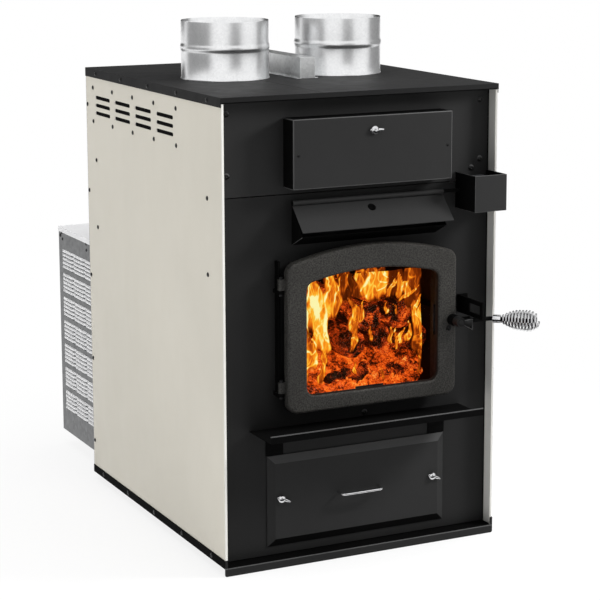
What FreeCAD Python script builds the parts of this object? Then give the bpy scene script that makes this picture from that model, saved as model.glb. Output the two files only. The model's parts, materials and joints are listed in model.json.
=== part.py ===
import FreeCAD, Part
import math
import os
import re

import Sketcher

from FreeCAD import Placement, Rotation, Vector

# Driving dimensions in millimetres: X right, Y back, Z up, origin on the floor under the casing's centre
SIZES = {
    # casing
    "casing_width": 682.0,
    "casing_depth": 822.0,
    "sheet": 1.5,
    "base_height": 19.0,
    "base_flange": 18.0,
    "lip_round": 5.0,
    "runner_width": 40.0,
    "runner_inset": 50.0,
    "runner_setback": 30.0,
    "lid_side_flange": 21.0,
    "lid_front_flange": 13.0,
    "lid_seam_x": -100.0,
    "lid_seam_length": 290.0,
    "lid_seam_width": 1.5,
    "lid_seam_depth": 0.5,
    "panel_hem": 4.0,
    "front_recess": 33.0,
    "front_gap": 4.0,
    "seam_rise": 17.0,
    "seam_gap": 2.0,
    "lid_margin": 53.0,
    "post_width": 30.0,
    "post_depth": 14.0,
    # fits
    "seat_gap": 0.3,
    "run_gap": 0.08,
    # vent in the left panel
    "vent_setback": 247.0,
    "vent_tail": 49.0,
    "vent_drop": 128.5,
    "vent_rise": 82.5,
    "vent_margin": 14.0,
    "slot_length": 98.0,
    "slot_width": 9.0,
    "slot_pitch": 19.0,
    # hot-air collars and wire channel
    "collar_radius": 101.6,
    "collar_wall": 1.0,
    "collar_height": 134.0,
    "collar_clear": 2.9,
    "collar_flange": 12.0,
    "bead_height": 73.0,
    "bead_width": 12.0,
    "bead_proud": 2.0,
    "channel_x": 15.0,
    "channel_width": 38.0,
    "channel_height": 48.5,
    "channel_wall": 1.2,
    "channel_foot": 8.0,
    "channel_setback": 305.0,
    "channel_tail": 47.0,
    # loading door
    "door_offset": 20.0,
    "door_width": 422.0,
    "door_clear": 37.0,
    "door_height": 364.0,
    "door_thickness": 20.0,
    "door_standoff": 25.0,
    "door_corner": 26.0,
    "door_edge": 6.0,
    "arch_radius": 666.0,
    "stile": 47.0,
    "bottom_rail": 38.0,
    "top_rail": 55.0,
    "opening_corner": 20.0,
    "glass_lap": 8.0,
    "glass_thickness": 5.0,
    "glass_pad": 1.5,
    "clip_length": 70.0,
    "clip_width": 14.0,
    "clip_thickness": 2.0,
    "rope_width": 12.0,
    "rope_thickness": 5.7,
    "throat_lap": 14.0,
    "throat_wall": 8.0,
    # door hinge
    "hinge_outset": 8.0,
    "knuckle_radius": 7.0,
    "pin_radius": 4.0,
    "lug_height": 24.0,
    "lug_low": 47.0,
    "lug_drop": 88.0,
    "ear_height": 8.0,
    "pin_overhang": 5.0,
    "hinge_bar_width": 5.0,
    "hinge_bar_gap": 0.9,
    "hinge_bar_low": 35.0,
    "hinge_bar_drop": 26.0,
    # door latch
    "spindle_inset": 11.0,
    "spindle_drop": 190.0,
    "boss_radius": 13.0,
    "boss_length": 14.0,
    "bar_radius": 5.0,
    "bar_tail": 6.0,
    "bar_standoff": 30.0,
    "bar_reach": 82.0,
    "bar_bend": 12.0,
    "grip_angle": 45.0,
    "cam_length": 35.0,
    "cam_height": 14.0,
    "cam_thickness": 6.0,
    "cam_hub": 12.0,
    "ferrule_start": 7.0,
    "ferrule_length": 18.0,
    "ferrule_radius": 9.5,
    "grip_length": 86.0,
    "grip_radius": 23.5,
    "grip_wire": 4.4,
    "catch_clear": 4.0,
    "catch_thickness": 4.0,
    "catch_reach": 109.0,
    "catch_height": 40.0,
    "catch_rise": 1.0,
    "catch_foot": 26.0,
    "catch_margin": 10.0,
    "catch_window": 46.0,
    # hearth shelf
    "shelf_width": 530.0,
    "shelf_depth": 111.0,
    "shelf_rise": 63.0,
    "shelf_plate": 2.0,
    "shelf_lip": 15.0,
    "bracket_x": 205.0,
    "bracket_width": 42.0,
    "bracket_plate": 3.0,
    "bracket_gap": 1.2,
    # ash drawer
    "drawer_lap": 44.0,
    "drawer_rise": 22.0,
    "drawer_height": 208.0,
    "drawer_plate": 2.0,
    "bevel_width": 17.5,
    "bevel_rise": 6.7,
    "drawer_mouth_lap": 21.0,
    "pan_width": 360.0,
    "pan_depth": 500.0,
    "pan_height": 140.0,
    "pan_rise": 7.0,
    "pan_wall": 2.0,
    "rail_width": 30.0,
    "handle_width": 101.0,
    "handle_rise": 105.0,
    "handle_reach": 24.0,
    "handle_radius": 3.2,
    "handle_bend": 8.0,
    "drawer_latch_offset": 12.0,
    "drawer_latch_rise": 109.0,
    # wing latches
    "latch_radius": 10.0,
    "latch_rise": 9.0,
    "latch_shoulder": 3.0,
    "latch_crown": 6.0,
    "latch_stem": 5.0,
    "latch_cam": 7.0,
    "latch_cam_thickness": 3.0,
    "latch_arm": 22.0,
    "latch_arm_width": 6.0,
    "latch_arm_thickness": 4.0,
    # clean-out cover
    "cover_x": 16.4,
    "cover_width": 392.0,
    "cover_rise": 15.5,
    "cover_height": 151.5,
    "cover_depth": 49.2,
    "cover_gap": 0.8,
    "cover_latch_drop": 32.0,
    "frame_inset": 11.0,
    "frame_depth": 35.0,
    "frame_wall": 2.0,
    # air intake
    "flap_x": 19.5,
    "flap_width": 375.0,
    "flap_length": 78.0,
    "flap_angle": 45.0,
    "flap_close": 10.0,
    "flap_rise": 96.0,
    "flap_pivot_reach": 19.0,
    "shaft_radius": 4.0,
    "sleeve_wall": 2.0,
    "pilot_radius": 9.5,
    "pilot_drop": 24.0,
    "cheek_inset": 8.0,
    "cheek_thickness": 2.0,
    "intake_nose_reach": 52.0,
    "intake_nose_rise": 24.0,
    "intake_clear": 4.0,
    "intake_slant_gap": 4.0,
    "air_slot_width": 260.0,
    "air_slot_rise": 23.0,
    "air_slot_height": 40.0,
    "actuator_margin": 46.0,
    "actuator_size": 82.0,
    "actuator_sag": 2.0,
    "actuator_depth": 87.0,
    "motor_size": 56.0,
    "motor_depth": 30.0,
    # firebox
    "firebox_width": 490.0,
    "firebox_depth": 618.0,
    "firebox_rise": 13.0,
    "firebox_wall": 5.0,
    "firebox_setback": 8.0,
    "brick_thickness": 32.0,
    "brick_headroom": 95.0,
    "brick_gap": 1.0,
    "plug_lap": 12.0,
    "air_tube_radius": 16.0,
    "baffle_headroom": 63.7,
    "air_tube_setback": 110.0,
    "air_tube_pitch": 120.0,
    "baffle_thickness": 20.0,
    "baffle_setback": 150.0,
    # heat exchanger
    "smoke_box_width": 440.0,
    "smoke_box_depth": 120.0,
    "exchanger_head": 45.0,
    "smoke_box_wall": 4.0,
    "exchanger_radius": 55.0,
    "exchanger_wall": 4.0,
    "exchanger_pitch": 135.0,
    "exchanger_rise": 90.0,
    "flue_radius": 76.2,
    "flue_wall": 2.0,
    "flue_reach": 60.0,
    "flue_hole_gap": 8.0,
    "cleanout_width": 330.0,
    "cleanout_rise": 16.5,
    "cleanout_height": 112.0,
    "cleanout_plate_thickness": 5.0,
    "cleanout_lap": 15.0,
    # fire
    "ember_width": 400.0,
    "ember_depth": 335.0,
    "ember_height": 126.0,
    "ember_front_height": 72.0,
    "ember_slope": 95.0,
    "ember_setback": 28.5,
    "log_radius": 35.0,
    "log_length": 300.0,
    "log_pitch": 80.0,
    "log_clear": 2.0,
    "log_setback": 35.0,
    # blower cabinet
    "cabinet_width": 600.0,
    "cabinet_depth": 348.0,
    "cabinet_bottom": 39.0,
    "cabinet_height": 557.0,
    "cabinet_sheet": 1.2,
    "cabinet_flange": 16.0,
    "cabinet_lid_flange": 12.0,
    "louvre_width": 80.0,
    "louvre_gap": 6.0,
    "louvre_rear_margin": 32.0,
    "louvre_height": 5.0,
    "louvre_pitch": 10.5,
    "louvre_high": 85.2,
    "louvre_low": 86.0,
    "filter_thickness": 25.0,
    "filter_margin": 14.0,
    "blower_radius": 150.0,
    "blower_width": 220.0,
    "blower_height": 290.0,
    "blower_shift": 2.0,
    "blower_wall": 1.5,
    "inlet_radius": 95.0,
    "outlet_height": 130.0,
    "wheel_radius": 122.0,
    "wheel_width": 176.0,
    "wheel_ring": 4.0,
    "blade_depth": 18.0,
    "blade_thickness": 2.0,
    "wheel_plate": 3.0,
    "hub_radius": 16.0,
    "hub_length": 24.0,
    "motor_radius": 58.0,
    "motor_hub_gap": 6.0,
    "motor_shaft": 6.0,
    "motor_bar": 24.0,
    "motor_bar_thickness": 4.0,
    # screws
    "screw_radius": 4.6,
    "screw_rise": 2.2,
    "screw_top": 2.8,
    "side_screw_drop": 390.0,
    "side_screw_top": 223.0,
    "side_screw_margin": 78.0,
    "side_screw_rear": 64.5,
    "edge_screw_low": 102.0,
    "edge_screw_high": 90.0,
    "flange_screw_margin": 72.0,
    "front_screw_inset": 20.0,
    "front_screw_rise": 32.5,
    "front_screw_drop": 38.5,
    "cabinet_screw_margin": 12.0,
    "cabinet_screw_drop": 22.0,
}

# Counts of repeated pieces
VENT_BAYS = 4
SLOT_ROWS = 3
FLANGE_SCREWS = 5
EDGE_SCREWS = 5
AIR_TUBES = 4
EXCHANGER_TUBES = 3
BRICK_COLUMNS = 3
LOG_ROWS = (3, 2)
BRICK_ROWS = 4
LOUVRE_COLUMNS = 3
LOUVRE_GROUPS = 7
LOUVRES_PER_GROUP = 5
WHEEL_BLADES = 24
GRIP_COILS = 11
QUARTERS = 4

# Places worked out from the driving dimensions
PLACES = {
    "half_width": "casing_width / 2",
    "front": "-casing_depth / 2",
    "rear": "casing_depth / 2",
    "panel_out": "half_width - sheet",
    "panel_in": "half_width - 2 * sheet",
    "floor": "base_height",
    "casing_height": "cover_top + lid_margin",
    "lid_under": "casing_height - sheet",
    "face": "front + front_recess",
    "face_back": "face + sheet",
    "front_edge": "panel_in - front_gap",
    "seam_height": "flap_pivot_height + seam_rise",
    # vent, collars and wire channel
    "vent_pitch": "(casing_depth - vent_setback - vent_tail) / vent_bays",
    "vent_height": "casing_height - vent_drop",
    "channel_length": "casing_depth - channel_setback - channel_tail",
    "channel_half": "channel_x + channel_width / 2 + channel_foot",
    "collar_spacing": "2 * (collar_radius + collar_clear + channel_half)",
    # loading door
    "door_back": "face - door_standoff",
    "door_front": "door_back - door_thickness",
    "door_left": "door_offset - door_width / 2",
    "door_right": "door_offset + door_width / 2",
    "door_bottom": "shelf_height + door_clear",
    "door_top": "door_bottom + door_height",
    "view_half": "door_width / 2 - stile",
    "view_bottom": "door_bottom + bottom_rail",
    "view_top": "door_top - top_rail",
    "glass_half": "view_half + glass_lap",
    "glass_bottom": "view_bottom - glass_lap",
    "glass_top": "view_top + glass_lap",
    "glass_front": "door_back - glass_thickness",
    "throat_half": "view_half + throat_lap",
    "throat_bottom": "view_bottom - throat_lap",
    "throat_top": "view_top + throat_lap",
    "throat_front": "door_back + rope_thickness + seat_gap",
    "rope_eye": "throat_half + throat_wall / 2 - rope_width / 2",
    "rope_low": "throat_bottom - throat_wall / 2 + rope_width / 2",
    "rope_high": "throat_top + throat_wall / 2 - rope_width / 2",
    "hinge_x": "door_left - hinge_outset",
    "hinge_y": "door_back",
    "lower_lug": "door_bottom + lug_low",
    "upper_lug": "door_top - lug_drop",
    "hinge_bar_bottom": "door_bottom + hinge_bar_low",
    "hinge_bar_height": "door_height - hinge_bar_low - hinge_bar_drop",
    # latch
    "spindle_x": "door_right - spindle_inset",
    "spindle_height": "door_top - spindle_drop",
    "boss_front": "door_front - boss_length",
    "bar_y": "door_front - bar_standoff",
    "catch_x": "spindle_x + cam_length + catch_clear",
    "catch_bottom": "spindle_height + bar_radius + catch_rise",
    # hearth shelf
    "shelf_front": "face - shelf_depth",
    "shelf_height": "drawer_top + shelf_rise",
    "drawer_top": "drawer_bottom + drawer_height",
    "bracket_bottom": "drawer_top + bracket_gap",
    # ash drawer
    "drawer_width": "pan_width + 2 * drawer_lap",
    "drawer_bottom": "floor + drawer_rise",
    "pan_floor": "drawer_bottom + pan_rise",
    "handle_height": "drawer_bottom + handle_rise",
    "drawer_latch_x": "pan_width / 2 + drawer_latch_offset",
    "drawer_latch_height": "drawer_bottom + drawer_latch_rise",
    "drawer_back": "face - seat_gap",
    "drawer_face": "drawer_back - drawer_plate - bevel_rise",
    "mouth_half": "drawer_width / 2 - drawer_mouth_lap",
    "pan_seat": "pan_floor + seat_gap",
    # clean-out
    "cover_left": "cover_x - cover_width / 2",
    "cover_right": "cover_x + cover_width / 2",
    "cover_bottom": "seam_height + cover_rise",
    "cover_top": "cover_bottom + cover_height",
    "cover_latch_height": "cover_top - cover_latch_drop",
    "cover_back": "face - cover_gap",
    "cover_front": "cover_back - cover_depth",
    "frame_front": "face - frame_depth",
    # air intake
    "flap_left": "flap_x - flap_width / 2",
    "flap_right": "flap_x + flap_width / 2",
    "intake_bottom": "door_top + intake_clear",
    "intake_nose_height": "intake_bottom + intake_nose_rise",
    "air_slot_bottom": "intake_bottom + air_slot_rise",
    "flap_pivot_height": "intake_bottom + flap_rise",
    "pivot_y": "face - flap_pivot_reach",
    "pivot_z": "flap_pivot_height",
    "actuator_x": "panel_in - actuator_margin",
    "actuator_left": "actuator_x - actuator_size / 2",
    "actuator_bottom": "flap_pivot_height - actuator_size / 2 - actuator_sag",
    "motor_left": "actuator_x - motor_size / 2",
    # firebox
    "box_left": "door_offset - firebox_width / 2",
    "box_right": "door_offset + firebox_width / 2",
    "box_front": "face_back + firebox_setback",
    "box_rear": "box_front + firebox_depth",
    "firebox_bottom": "drawer_top + firebox_rise",
    "box_top": "exchanger_height - exchanger_radius - exchanger_rise",
    "hearth_left": "box_left + firebox_wall",
    "hearth_right": "box_right - firebox_wall",
    "hearth_front": "box_front + firebox_wall",
    "hearth_rear": "box_rear - firebox_wall",
    "hearth_floor": "firebox_bottom + firebox_wall",
    "brick_top": "hearth_floor + brick_thickness",
    "baffle_seat": "box_top - firebox_wall - baffle_headroom - baffle_thickness",
    "air_tube_height": "baffle_seat - seat_gap - air_tube_radius",
    "brick_height": "air_tube_height - air_tube_radius - brick_headroom - brick_top",
    "brick_width": "(hearth_right - hearth_left) / brick_columns",
    "brick_depth": "(hearth_rear - hearth_front) / brick_rows",
    "smoke_left": "door_offset - smoke_box_width / 2",
    "smoke_right": "door_offset + smoke_box_width / 2",
    "cleanout_bottom": "cover_bottom + cleanout_rise",
    "exchanger_height": "cleanout_bottom + cleanout_height / 4",
    "smoke_top": "exchanger_height + exchanger_radius + exchanger_head",
    "smoke_rear_front": "box_rear - smoke_box_depth",
    "ember_front": "hearth_front + ember_setback",
    "ember_top": "brick_top + ember_height",
    "log_front": "ember_front + log_setback",
    "log_right": "hearth_right - brick_thickness - log_radius - log_clear",
    "log_z": "ember_top + log_radius + seat_gap",
    # blower cabinet
    "cabinet_half": "cabinet_width / 2",
    "cabinet_rear": "rear + cabinet_depth",
    "cabinet_top": "cabinet_bottom + cabinet_height",
    "louvre_first": "cabinet_bottom + louvre_low",
    "louvre_group_pitch": "(cabinet_height - louvre_low - louvre_high) / louvre_steps",
    "blower_y": "rear + cabinet_depth / 2 - blower_shift",
    "blower_half": "blower_width / 2",
    "motor_length": "blower_half - hub_length / 2 - motor_hub_gap",
    "outlet_bottom": "blower_height + blower_radius - outlet_height",
    # screws
    "side_screw_low": "casing_height - side_screw_drop",
    "side_screw_high": "casing_height - side_screw_top",
    "edge_screw_pitch": "(casing_height - edge_screw_low - edge_screw_high) / edge_steps",
    "front_screw_low": "cover_bottom + front_screw_rise",
    "front_screw_high": "casing_height - front_screw_drop",
}
COUNTS = {
    "brick_columns": BRICK_COLUMNS,
    "brick_rows": BRICK_ROWS,
    "vent_bays": VENT_BAYS,
    "louvre_steps": LOUVRE_GROUPS - 1,
    "edge_steps": EDGE_SCREWS - 1,
}

# Directions a round piece can point in
AIM = {
    "Z": Rotation(),
    "X": Rotation(Vector(0, 1, 0), 90),
    "-X": Rotation(Vector(0, 1, 0), -90),
    "Y": Rotation(Vector(1, 0, 0), -90),
    "-Y": Rotation(Vector(1, 0, 0), 90),
}
PLANE_AXIS = {"XY_Plane": "z", "XZ_Plane": "y", "YZ_Plane": "x"}
TOUCH = 1e-6

doc = FreeCAD.newDocument("WoodFurnace")
sheet = doc.addObject("Spreadsheet::Sheet", "Sizes")
for row, (alias, number) in enumerate(SIZES.items(), start=1):
    sheet.set(f"A{row}", alias)
    sheet.set(f"B{row}", str(number))
    sheet.setAlias(f"B{row}", alias)
doc.recompute()

pieces = []


# Naming and measuring

def resolve(text):
    """Expression text with its names replaced by sheet cells, counts or worked-out places."""
    def swap(match):
        word = match.group(0)
        if word in SIZES:
            return f"Sizes.{word}"
        if word in COUNTS:
            return str(COUNTS[word])
        if word in PLACES:
            return f"({resolve(PLACES[word])})"
        return word
    return re.sub(r"\b[a-z][a-z_0-9]*", swap, str(text))


def value(text):
    """Number that an expression has with the sheet's present sizes."""
    return float(sheet.evalExpression(resolve(text)))


def piece(item):
    """Mark an object as a finished sub-part of the furnace."""
    pieces.append(item)
    return item


# Primitive shapes

def block(name, x, y, z):
    """Box between a low and a high expression on each axis."""
    box = doc.addObject("Part::Box", name)
    for size, axis, (low, high) in (("Length", "x", x), ("Width", "y", y), ("Height", "z", z)):
        box.setExpression(size, resolve(f"({high}) - ({low})"))
        box.setExpression(f"Placement.Base.{axis}", resolve(low))
    return box


def place(item, aim, x, y, z):
    """Point an object's own Z axis along aim and bind its place."""
    item.Placement = Placement(Vector(), AIM[aim])
    for axis, text in (("x", x), ("y", y), ("z", z)):
        item.setExpression(f"Placement.Base.{axis}", resolve(text))
    return item


def rod(name, aim, radius, length, x, y, z):
    """Round bar that starts at a point and runs along aim."""
    bar = doc.addObject("Part::Cylinder", name)
    bar.setExpression("Radius", resolve(radius))
    bar.setExpression("Height", resolve(length))
    return place(bar, aim, x, y, z)


def screw_head(name, aim, x, y, z):
    """Low pan head that sits on a surface."""
    head = doc.addObject("Part::Cone", name)
    head.setExpression("Radius1", resolve("screw_radius"))
    head.setExpression("Radius2", resolve("screw_top"))
    head.setExpression("Height", resolve("screw_rise"))
    return place(head, aim, x, y, z)


# Joining and cutting

def join(name, *items):
    """One solid made of several overlapping or touching shapes."""
    whole = doc.addObject("Part::MultiFuse", name)
    whole.Shapes = list(items)
    whole.Refine = True
    return whole


def group(name, items):
    """Several separate solids kept as one sub-part."""
    whole = doc.addObject("Part::Compound", name)
    whole.Links = list(items)
    return whole


def cut(name, base, *tools):
    """Base with the tools taken out of it."""
    result = doc.addObject("Part::Cut", name)
    result.Base = base
    result.Tool = tools[0] if len(tools) == 1 else group(name + "_tools", tools)
    return result


def overlap(name, first, second):
    """The volume that two shapes share."""
    result = doc.addObject("Part::Common", name)
    result.Base = first
    result.Tool = second
    return result


def rounded(name, base, radius, chosen):
    """Base with a fillet on the edges that the chosen test accepts."""
    doc.recompute()
    size = value(radius)
    fillet = doc.addObject("Part::Fillet", name)
    fillet.Base = base
    fillet.Edges = [(number, size, size) for number, edge in enumerate(base.Shape.Edges, 1) if chosen(edge)]
    return fillet


def along(axis):
    """Test for straight edges that run along an axis."""
    def chosen(edge):
        if edge.Curve.TypeId != "Part::GeomLine":
            return False
        return abs(abs(edge.Curve.Direction.dot(axis)) - 1) < TOUCH
    return chosen


def on_front(y):
    """Test for edges that lie in the plane at a given Y."""
    def chosen(edge):
        box = edge.BoundBox
        return abs(box.YMin - y) < TOUCH and abs(box.YMax - y) < TOUCH
    return chosen


# Sketched shapes

def outline(body, plane, points, offset="0"):
    """Closed polygon sketched on one of a body's origin planes, each corner bound to its expressions."""
    sketch = body.newObject("Sketcher::SketchObject", body.Name + "_sketch")
    support = [item for item in body.Origin.OriginFeatures if item.Role == plane][0]
    sketch.AttachmentSupport = [(support, "")]
    sketch.MapMode = "FlatFace"
    sketch.setExpression("AttachmentOffset.Base.z", resolve(offset))
    polygon(sketch, points)
    return sketch


def polygon(sketch, points):
    """Add one closed polygon to a sketch."""
    corners = [Vector(value(across), value(up), 0) for across, up in points]
    first = sketch.GeometryCount
    count = len(corners)
    for index, corner in enumerate(corners):
        sketch.addGeometry(Part.LineSegment(corner, corners[(index + 1) % count]), False)
    for index in range(count):
        following = first + (index + 1) % count
        sketch.addConstraint(Sketcher.Constraint("Coincident", first + index, 2, following, 1))
    for index, texts in enumerate(points):
        corner = corners[index]
        for kind, number, text in zip(("DistanceX", "DistanceY"), (corner.x, corner.y), texts):
            rule = sketch.addConstraint(Sketcher.Constraint(kind, -1, 1, first + index, 1, number))
            sketch.setExpression(f"Constraints[{rule}]", resolve(text))


def plate(name, plane, points, low, high):
    """Polygon padded from low to high along the axis of its plane."""
    body = doc.addObject("PartDesign::Body", name)
    pad = body.newObject("PartDesign::Pad", name + "_pad")
    pad.Profile = outline(body, plane, points)
    pad.Reversed = plane == "XZ_Plane"
    pad.setExpression("Length", resolve(f"({high}) - ({low})"))
    body.setExpression(f"Placement.Base.{PLANE_AXIS[plane]}", resolve(low))
    return body


def turned(name, points, aim, x, y, z):
    """Round piece: a half section of radius and height pairs turned about its own axis."""
    body = doc.addObject("PartDesign::Body", name)
    sketch = outline(body, "XZ_Plane", points)
    turn = body.newObject("PartDesign::Revolution", name + "_turn")
    turn.Profile = sketch
    turn.ReferenceAxis = (sketch, ["V_Axis"])
    turn.Angle = 360
    return place(body, aim, x, y, z)


def bent_bar(name, corners, bend, radius):
    """Round bar along straight runs with an arc at each inner corner; sizes come from the sheet."""
    points = [Vector(value(x), value(y), value(z)) for x, y, z in corners]
    reach = value(bend)
    edges = []
    start = points[0]
    for before, corner, after in zip(points, points[1:], points[2:]):
        inward = (before - corner).normalize()
        outward = (after - corner).normalize()
        half = inward.getAngle(outward) / 2
        setback = reach / math.tan(half)
        middle = (inward + outward).normalize()
        first = corner + inward * setback
        last = corner + outward * setback
        top = corner + middle * (reach / math.sin(half) - reach)
        edges.append(Part.LineSegment(start, first).toShape())
        edges.append(Part.Arc(first, top, last).toShape())
        start = last
    edges.append(Part.LineSegment(start, points[-1]).toShape())
    path = Part.Wire(edges)
    ring = Part.Wire([Part.Circle(points[0], points[1] - points[0], value(radius)).toShape()])
    bar = doc.addObject("Part::Feature", name)
    bar.Shape = path.makePipeShell([ring], True, False)
    return bar


# Casing

def base():
    """Tray with its front lip, side flanges and front corner tabs, and the runners it stands on."""
    wide = ("-half_width", "half_width")
    deep = ("front", "rear")
    raised = ("floor", "floor + base_flange")
    tray = join(
        "base_tray_raw",
        block("tray_floor", wide, deep, ("floor - sheet", "floor")),
        block("tray_lip", wide, ("front - sheet", "front"), ("0", "floor")),
        block("tray_left", ("-half_width", "-panel_out"), deep, raised),
        block("tray_right", ("panel_out", "half_width"), deep, raised),
        block("tray_left_corner", ("-half_width", "-panel_in + panel_hem"), ("front - sheet", "front"),
              raised),
        block("tray_right_corner", ("panel_in - panel_hem", "half_width"), ("front - sheet", "front"),
              raised),
    )

    def lip_end(edge):
        low = edge.BoundBox.ZMax < TOUCH
        return low and along(Vector(0, 1, 0))(edge)
    piece(rounded("base_tray", tray, "lip_round", lip_end))
    bars = []
    for index, x in enumerate(("-half_width + runner_inset", "0", "half_width - runner_inset")):
        sides = (f"{x} - runner_width / 2", f"{x} + runner_width / 2")
        bars.append(block(f"runner_{index}", sides, ("front + runner_setback", "rear"),
                          ("0", "floor - sheet")))
    piece(group("base_runners", bars))


def side_panels():
    """Cream side panels with a front hem; the left one has a vent with a backing plate."""
    deep = ("front", "rear - sheet")
    tall = ("floor", "lid_under")
    left = join(
        "left_panel_raw",
        block("left_wall", ("-panel_out", "-panel_in"), deep, tall),
        block("left_hem", ("-panel_in", "-panel_in + panel_hem"), ("front", "front + sheet"), tall),
    )
    slots = []
    for bay in range(VENT_BAYS):
        for line in range(SLOT_ROWS):
            middle = f"front + vent_setback + {bay + 0.5} * vent_pitch"
            height = f"vent_height + vent_rise / 2 + {line - (SLOT_ROWS - 1) / 2} * slot_pitch"
            slots.append(vent_slot(f"slot_{bay}_{line}", middle, height))
    piece(cut("left_side_panel", left, *slots))
    piece(join(
        "right_side_panel",
        block("right_wall", ("panel_in", "panel_out"), deep, tall),
        block("right_hem", ("panel_in - panel_hem", "panel_in"), ("front", "front + sheet"), tall),
    ))
    piece(block(
        "vent_backing_plate", ("-panel_in", "-panel_in + sheet"),
        ("front + vent_setback - vent_margin", "rear - vent_tail + vent_margin"),
        ("vent_height - vent_margin", "vent_height + vent_rise + vent_margin"),
    ))


def vent_slot(name, y, z):
    """Round-ended slot through the left panel."""
    run = "(slot_length - slot_width) / 2"
    wall = ("-panel_out - sheet", "-panel_in")
    thick = "2 * sheet"
    return join(
        name,
        block(name + "_run", wall, (f"{y} - {run}", f"{y} + {run}"),
              (f"{z} - slot_width / 2", f"{z} + slot_width / 2")),
        rod(name + "_near", "X", "slot_width / 2", thick, "-panel_out - sheet", f"{y} - {run}", z),
        rod(name + "_far", "X", "slot_width / 2", thick, "-panel_out - sheet", f"{y} + {run}", z),
    )


def rear_panel():
    """Rear panel with the flue hole and the blower's air hole."""
    wall = block("rear_wall", ("-panel_out", "panel_out"), ("rear - sheet", "rear"), ("floor", "lid_under"))
    flue = rod("rear_flue_hole", "Y", "flue_radius + flue_hole_gap", "3 * sheet",
               "door_offset", "rear - 2 * sheet", "exchanger_height")
    air = block("rear_air_hole", ("-blower_half + blower_wall", "blower_half - blower_wall"),
                ("rear - 2 * sheet", "rear + sheet"),
                ("outlet_bottom + blower_wall", "outlet_bottom + outlet_height - blower_wall"))
    piece(cut("rear_panel", wall, flue, air))


def top_panel():
    """Lid with flanges, collar holes and a seam line in front of the left collar."""
    wide = ("-half_width", "half_width")
    deep = ("front", "rear")
    skirt = ("casing_height - lid_side_flange", "lid_under")
    lid = join(
        "top_raw",
        block("top_sheet", wide, deep, ("lid_under", "casing_height")),
        block("top_front", wide, ("front - sheet", "front"),
              ("casing_height - lid_front_flange", "casing_height")),
        block("top_left", ("-half_width", "-panel_out"), deep, skirt),
        block("top_right", ("panel_out", "half_width"), deep, skirt),
    )
    holes = [
        rod(f"top_hole_{side}", "Z", "collar_radius + seat_gap", "3 * sheet",
            f"{side} * collar_spacing / 2",
            "0", "lid_under - sheet")
        for side in (-1, 1)
    ]
    seam = block("top_seam", ("lid_seam_x", "lid_seam_x + lid_seam_width"),
                 ("front", "front + lid_seam_length"),
                 ("casing_height - lid_seam_depth", "casing_height"))
    piece(cut("top_panel", lid, *holes, seam))


def hot_air_collars():
    """Beaded duct collars, each flanged under the lid."""
    low = "bead_height - bead_width / 2"
    high = "bead_height + bead_width / 2"
    inner = "collar_radius - collar_wall"
    section = [
        ("collar_radius", "-sheet"), ("collar_radius", low), ("collar_radius + bead_proud", "bead_height"),
        ("collar_radius", high), ("collar_radius", "collar_height"), (inner, "collar_height"), (inner,
                                                                                                high),
        (f"{inner} + bead_proud", "bead_height"), (inner, low), (inner, "-sheet - collar_wall"),
        ("collar_radius + collar_flange", "-sheet - collar_wall"), ("collar_radius + collar_flange",
                                                                    "-sheet"),
    ]
    for name, side in (("hot_air_collar_left", -1), ("hot_air_collar_right", 1)):
        piece(turned(name, section, "Z", f"{side} * collar_spacing / 2", "0", "casing_height"))


def wire_channel():
    """Galvanised channel that covers the wires on the lid, closed at its front end."""
    low = "channel_x - channel_width / 2"
    high = "channel_x + channel_width / 2"
    deep = ("front + channel_setback", "front + channel_setback + channel_length")
    tall = ("casing_height", "casing_height + channel_height")
    foot = ("casing_height", "casing_height + channel_wall")
    piece(join(
        "wire_channel",
        block("channel_left", (low, f"{low} + channel_wall"), deep, tall),
        block("channel_right", (f"{high} - channel_wall", high), deep, tall),
        block("channel_roof", (low, high), deep,
              ("casing_height + channel_height - channel_wall", "casing_height + channel_height")),
        block("channel_end", (low, high), (deep[0], f"{deep[0]} + channel_wall"), tall),
        block("channel_foot_left", (f"{low} - channel_foot", low), deep, foot),
        block("channel_foot_right", (high, f"{high} + channel_foot"), deep, foot),
    ))


def front_panels():
    """Posts inside the side panels and the two front panels screwed to them."""
    tall = ("floor", "lid_under")
    posts = [
        block("post_left", ("-panel_in", "-panel_in + post_width"), ("face_back", "face_back + post_depth"),
              tall),
        block("post_right", ("panel_in - post_width", "panel_in"), ("face_back", "face_back + post_depth"),
              tall),
    ]
    piece(group("front_posts", posts))
    wide = ("-front_edge", "front_edge")
    thick = ("face", "face_back")
    through = ("face - sheet", "face_back + sheet")
    upper = block("upper_sheet", wide, thick, ("seam_height + seam_gap / 2", "lid_under - seat_gap"))
    inner = "cover_width / 2 - frame_inset - frame_wall"
    mouth = block("upper_mouth", (f"cover_x - ({inner})", f"cover_x + {inner}"), through,
                  ("cover_bottom + frame_inset + frame_wall", "cover_top - frame_inset - frame_wall"))
    piece(cut("upper_front_panel", upper, mouth))
    lower = block("lower_sheet", wide, thick, ("floor + seam_gap", "seam_height - seam_gap / 2"))
    outer = "throat_half + throat_wall + seat_gap"
    throat = block("lower_throat", (f"door_offset - ({outer})", f"door_offset + {outer}"), through,
                   ("throat_bottom - throat_wall - seat_gap", "throat_top + throat_wall + seat_gap"))
    drawer = block("lower_drawer", ("-mouth_half", "mouth_half"), through,
                   ("pan_floor - seam_gap", "drawer_top - drawer_mouth_lap"))
    air = block("lower_air", ("flap_x - air_slot_width / 2", "flap_x + air_slot_width / 2"), through,
                ("air_slot_bottom", "air_slot_bottom + air_slot_height"))
    piece(cut("lower_front_panel", lower, throat, drawer, air))


# Firebox and heat exchanger

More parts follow.
